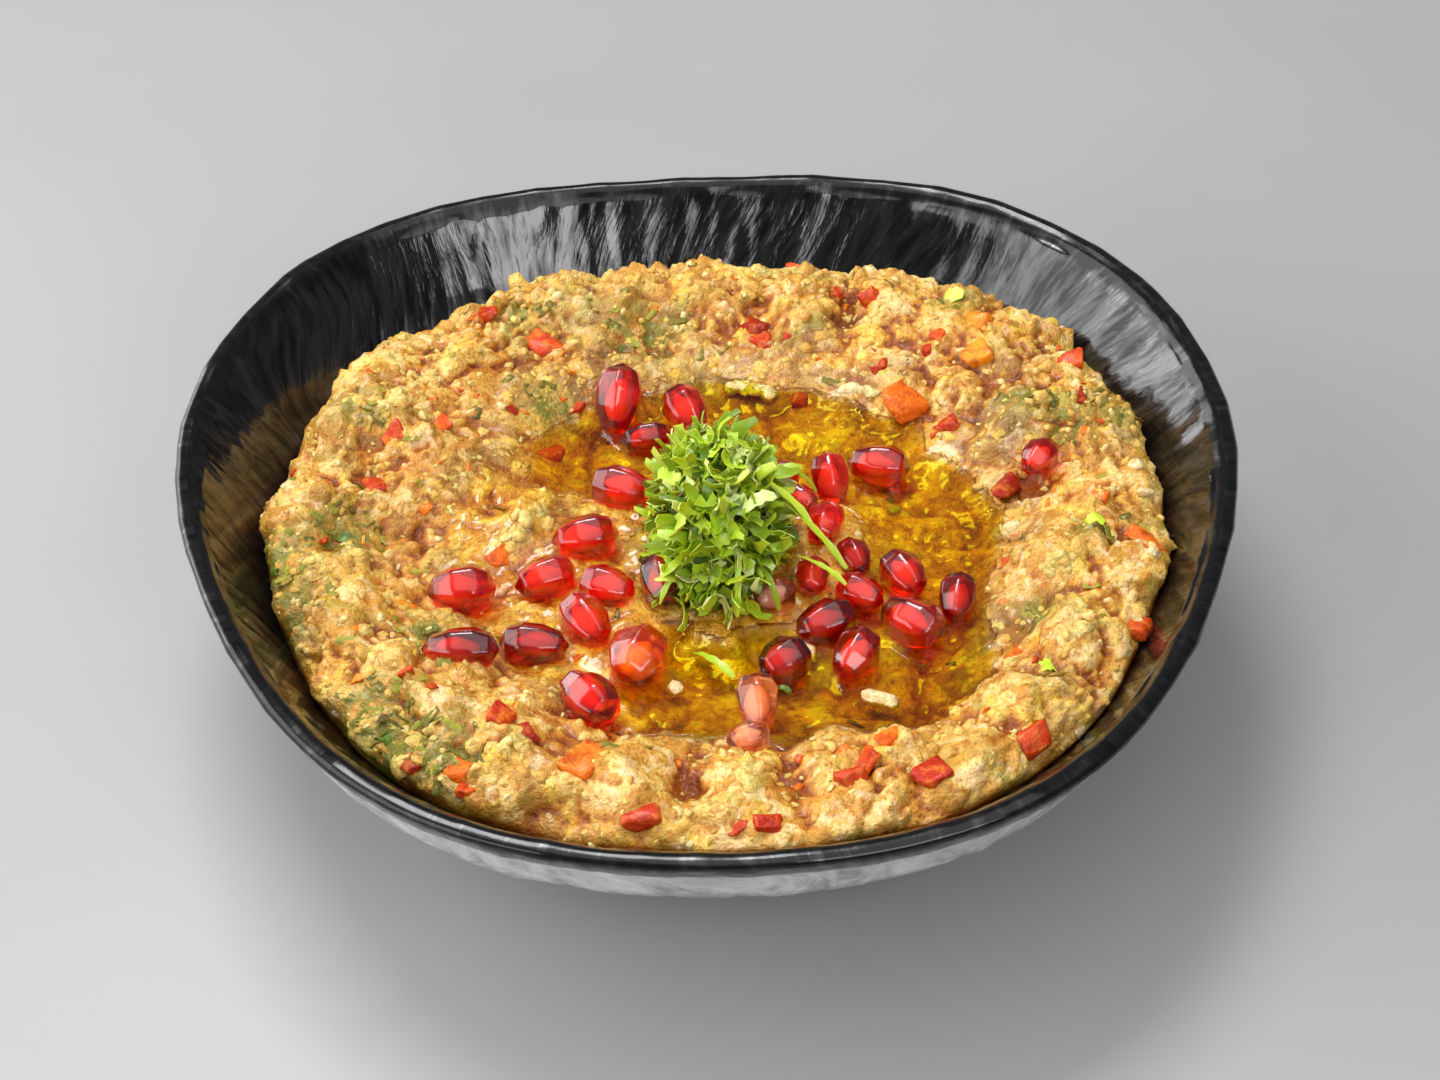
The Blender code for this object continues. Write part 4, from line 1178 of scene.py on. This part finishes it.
# %% Arils and kernels
deselect_everything()
bpy.ops.mesh.primitive_uv_sphere_add(segments=12, ring_count=8, radius=1.0)
kernel_pattern = bpy.context.object
shape = points_of(kernel_pattern)
shape = shape[:, [2, 0, 1]]
taper = 1.0 - 0.35 * (shape[:, 0] < 0) * -shape[:, 0]
shape[:, 1] *= taper
shape[:, 2] *= taper
move_points(kernel_pattern, shape)
kernels = []
for number in range(1, 34):
    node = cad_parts[f"aril_{number:02d}"]
    deselect_everything()
    aril = node.copy()
    aril.data = node.data.copy()
    aril.name = f"gel_aril_{number:02d}"
    aril.parent = None
    for key in list(aril.keys()):
        del aril[key]
    bpy.context.scene.collection.objects.link(aril)
    choose(aril)
    aril.data.materials.clear()
    bpy.ops.object.mode_set(mode="EDIT")
    bpy.ops.mesh.select_all(action="SELECT")
    bpy.ops.mesh.remove_doubles(threshold=0.00001)
    bpy.ops.mesh.tris_convert_to_quads()
    bpy.ops.transform.edge_crease(value=0.5)
    bpy.ops.object.mode_set(mode="OBJECT")
    points = points_of(aril)
    middle = points.mean(0)
    axes = np.linalg.svd(points - middle)[2]
    along = axes[0] * np.sign((((points - middle) @ axes[0]) ** 3).sum() or 1.0)
    middle = (points.max(0) + points.min(0)) / 2
    move_points(aril, middle + (points - middle) * 1.08)
    swell = aril.modifiers.new("swell", "SUBSURF")
    swell.levels = 3
    swell.render_levels = 3
    bpy.ops.object.modifier_apply(modifier="swell")
    aril.data.shade_smooth()
    aril.data.materials.append(GELS[SPECIAL.get(number, "crimson")])
    adopt(aril, "pomegranate_gel", node.name)
    span = (points - middle) @ along
    length = span.max() - span.min()
    across = np.linalg.norm((points - middle) - np.outer(span, along), axis=1).max() * 2
    side = Vector(along).orthogonal().normalized()
    frame_of = Matrix((Vector(along), side, Vector(along).cross(side))).transposed()
    scale = (length * 0.28, across * 0.24, across * 0.22)
    tone = {14: 0.9, 16: 0.6, 10: 0.85, 21: 0.15, 8: 0.3}.get(number, dice.uniform(0.35, 0.65))
    kernels.append((Vector(middle) + Vector(along) * length * 0.03, frame_of, scale, tone))
aril_kernels = scatter("aril_kernels", kernel_pattern, kernels)
discard(kernel_pattern)

# %% Kernel skin
husk = Recipe("kernel_husk")
tone = husk.painted("tone")
husk_tone = husk.ramp(tone, (0.1, (0.90, 0.78, 0.62)), (0.5, (0.92, 0.42, 0.15)), (0.9, (0.88, 0.36, 0.05)))
husk.put("Base Color", husk_tone)
husk.bump(husk.noise(0.0008, 2.0), 0.3, 0.0003)
husk.set(Roughness=0.45, Subsurface_Weight=0.3, Subsurface_Scale=0.002)
aril_kernels.data.materials.append(husk.material)
adopt(aril_kernels, "pomegranate_gel")

# %% [markdown]
# ## Parsley
# Flat-leaf parsley is chopped coarsely, so the heap is hundreds of curled scraps and a few thin stalks.
# A core given the darkest leaf tone fills the middle, as painted shade where no one can see between
# the leaves. Scraps are set round it in layers, each one turned out of the heap at random.

# %% Core of the heap
core_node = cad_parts["parsley_heap"]
low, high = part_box("parsley_heap")
deselect_everything()
core = core_node.copy()
core.data = core_node.data.copy()
core.name = "parsley_core"
core.parent = None
for key in list(core.keys()):
    del core[key]
bpy.context.scene.collection.objects.link(core)
choose(core)
core.data.materials.clear()
bpy.ops.object.mode_set(mode="EDIT")
bpy.ops.mesh.select_all(action="SELECT")
bpy.ops.mesh.remove_doubles(threshold=0.00001)
bpy.ops.object.mode_set(mode="OBJECT")
heap_skin = [(face.normal.copy(), [core.data.vertices[i].co.copy() for i in face.vertices], face.area)
             for face in core.data.polygons if face.center.z > low.z + 3.0 * MM]
points = points_of(core)
foot = np.array(((low.x + high.x) / 2, (low.y + high.y) / 2, low.z))
move_points(core, foot + (points - foot) * np.array((0.78, 0.82, 0.84)))
subdivide = core.modifiers.new("subdivide", "SUBSURF")
subdivide.levels = 2
subdivide.render_levels = 2
bpy.ops.object.modifier_apply(modifier="subdivide")
points = points_of(core)
move_points(core, points + normals_of(core) * (noise_at(points, 3.5 * MM, 41) * 1.0 * MM)[:, None])
core.data.shade_smooth()
# Painted shade: the whole core gets the darkest leaf tone, for the shade deep inside the heap.
paint(core, "tone", [0.12] * len(points))
core.data.materials.append(leaf.material)
adopt(core, "parsley_leaf", "parsley_heap")
print("core has", len(core.data.polygons), "faces")

# %% Leaf scraps over the core


def heap_places(count, smallest, largest, inset, stand):
    """Places on the plain heap's skin. Most scraps lie along it and some stand out of it."""
    places = []
    for normal, corners, _ in dice.choices(heap_skin, [area for *_, area in heap_skin], k=count):
        shares = [dice.random() for _ in corners]
        point = sum((corner * share for corner, share in zip(corners, shares)), Vector()) / sum(shares)
        size = dice.uniform(smallest, largest) * MM
        point = point - normal * dice.uniform(*inset) * MM
        point.z = min(point.z, high.z - 0.55 * size)
        lean = Vector([dice.gauss(0, stand) for _ in range(3)])
        turn = facing(normal + lean, dice.uniform(0, math.tau))
        tone = min(1.0, max(0.0, dice.gauss(0.62, 0.24)))
        places.append((point, turn, (size, size * dice.uniform(0.8, 1.2), size), tone))
    return places


def pointing(direction):
    """Rotation that lays a pattern's length along a direction, its flat side up."""
    along = Vector(direction).normalized()
    side = Vector((0, 0, 1)).cross(along).normalized()
    return Matrix((along, side, along.cross(side))).transposed()


# Strands that hang off the heap or lie beside it: middle and direction in mm, width scale in mm, tone
STRANDS = (
    ((19.0, -17.0, 45.6), (10, -7, -8), 8.2, 3.0, 0.75), ((14.0, -13.0, 50.0), (8, -5, -5), 6.0, 3.4, 0.85),
    ((20.0, -20.6, 41.0), (6, -3, -2), 5.0, 2.4, 0.80), ((5.4, -27.5, 42.6), (0, -5, -7), 5.4, 2.8, 0.70),
    ((11.0, -25.5, 41.5), (3, -4, -6), 5.0, 2.6, 0.55), ((16.5, -4.0, 47.5), (6, 1, -6), 5.0, 2.8, 0.70),
    ((-6.0, -24.0, 41.0), (-4, -5, -5), 4.6, 3.0, 0.65), ((-8.6, -8.0, 44.0), (-5, -1, -6), 4.4, 3.0, 0.75),
    ((1.5, -37.4, 34.9), (6.8, -6.4, 0.3), 4.8, 3.6, 0.70),
    ((12.6, -43.4, 34.4), (3, -1, 0.2), 1.8, 2.6, 0.20),
    ((9.0, -17.4, 53.4), (5, 3, 1), 3.2, 7.0, 1.0), ((2.6, -5.6, 55.6), (3, 5, -1), 3.6, 4.0, 0.80),
)
strands = [(Vector(middle) * MM, pointing(course), (length * MM, width * MM, 3.0 * MM), tone)
           for middle, course, length, width, tone in STRANDS]
# Strips that lie on the dip: x, y, heading in degrees, half length, width scale, tone
for x, y, heading, length, width, tone in (
    (46.2, 57.6, -35, 4.0, 8.0, 0.88), (66.9, -10.0, 20, 1.8, 8.0, 0.84), (56.2, -44.1, 10, 1.5, 8.0, 0.82),
    (-51.0, -59.5, -30, 1.8, 6.0, 0.10), (-63.0, -9.0, -20, 2.0, 5.0, 0.08),
    (-74.0, -17.0, 60, 1.6, 5.0, 0.10),
):
    point, normal = ground(x * MM, y * MM)
    strands.append((point + normal * 0.3 * MM, facing(normal, math.radians(heading)),
                    (length * MM, width * MM, 3.0 * MM), tone))

for name, pattern, places in (
    ("parsley_leaflets", leaf_scrap("pattern", LEAFLET, 0.35, 0.45, 0.3, 0.25),
     heap_places(115, 2.6, 4.8, (1.0, 3.6), 0.45)),
    ("parsley_ribbons", leaf_scrap("pattern", RIBBON, 0.30, 0.9, 0.7, 0.6),
     heap_places(190, 3.2, 6.6, (1.1, 4.0), 0.50)),
    ("parsley_curls", leaf_scrap("pattern", RIBBON, 0.60, -1.30, -1.2),
     heap_places(95, 2.8, 5.4, (0.8, 3.4), 0.55)),
    ("parsley_scraps", leaf_scrap("pattern", TORN_SCRAP, 0.20, 0.5, 0.0, 0.4),
     heap_places(150, 1.8, 3.6, (0.4, 2.8), 0.6)),
    ("parsley_strands", leaf_scrap("pattern", RIBBON, 0.30, -0.35, 0.5), strands),
):
    piece = scatter(name, pattern, places)
    discard(pattern)
    points = points_of(piece)
    above = points[:, 2] - (high.z - 1.6 * MM)
    lowered = high.z - 0.1 * MM - 1.5 * MM * np.exp(-above / (1.5 * MM))
    points[:, 2] = np.where(above > 0, lowered, points[:, 2])
    move_points(piece, points)
    piece.data.set_sharp_from_angle(angle=math.radians(50))
    piece.data.materials.append(leaf.material)
    adopt(piece, "parsley_leaf")
    print(name, "reaches", round(points_of(piece)[:, 2].max() / MM, 1), "mm")
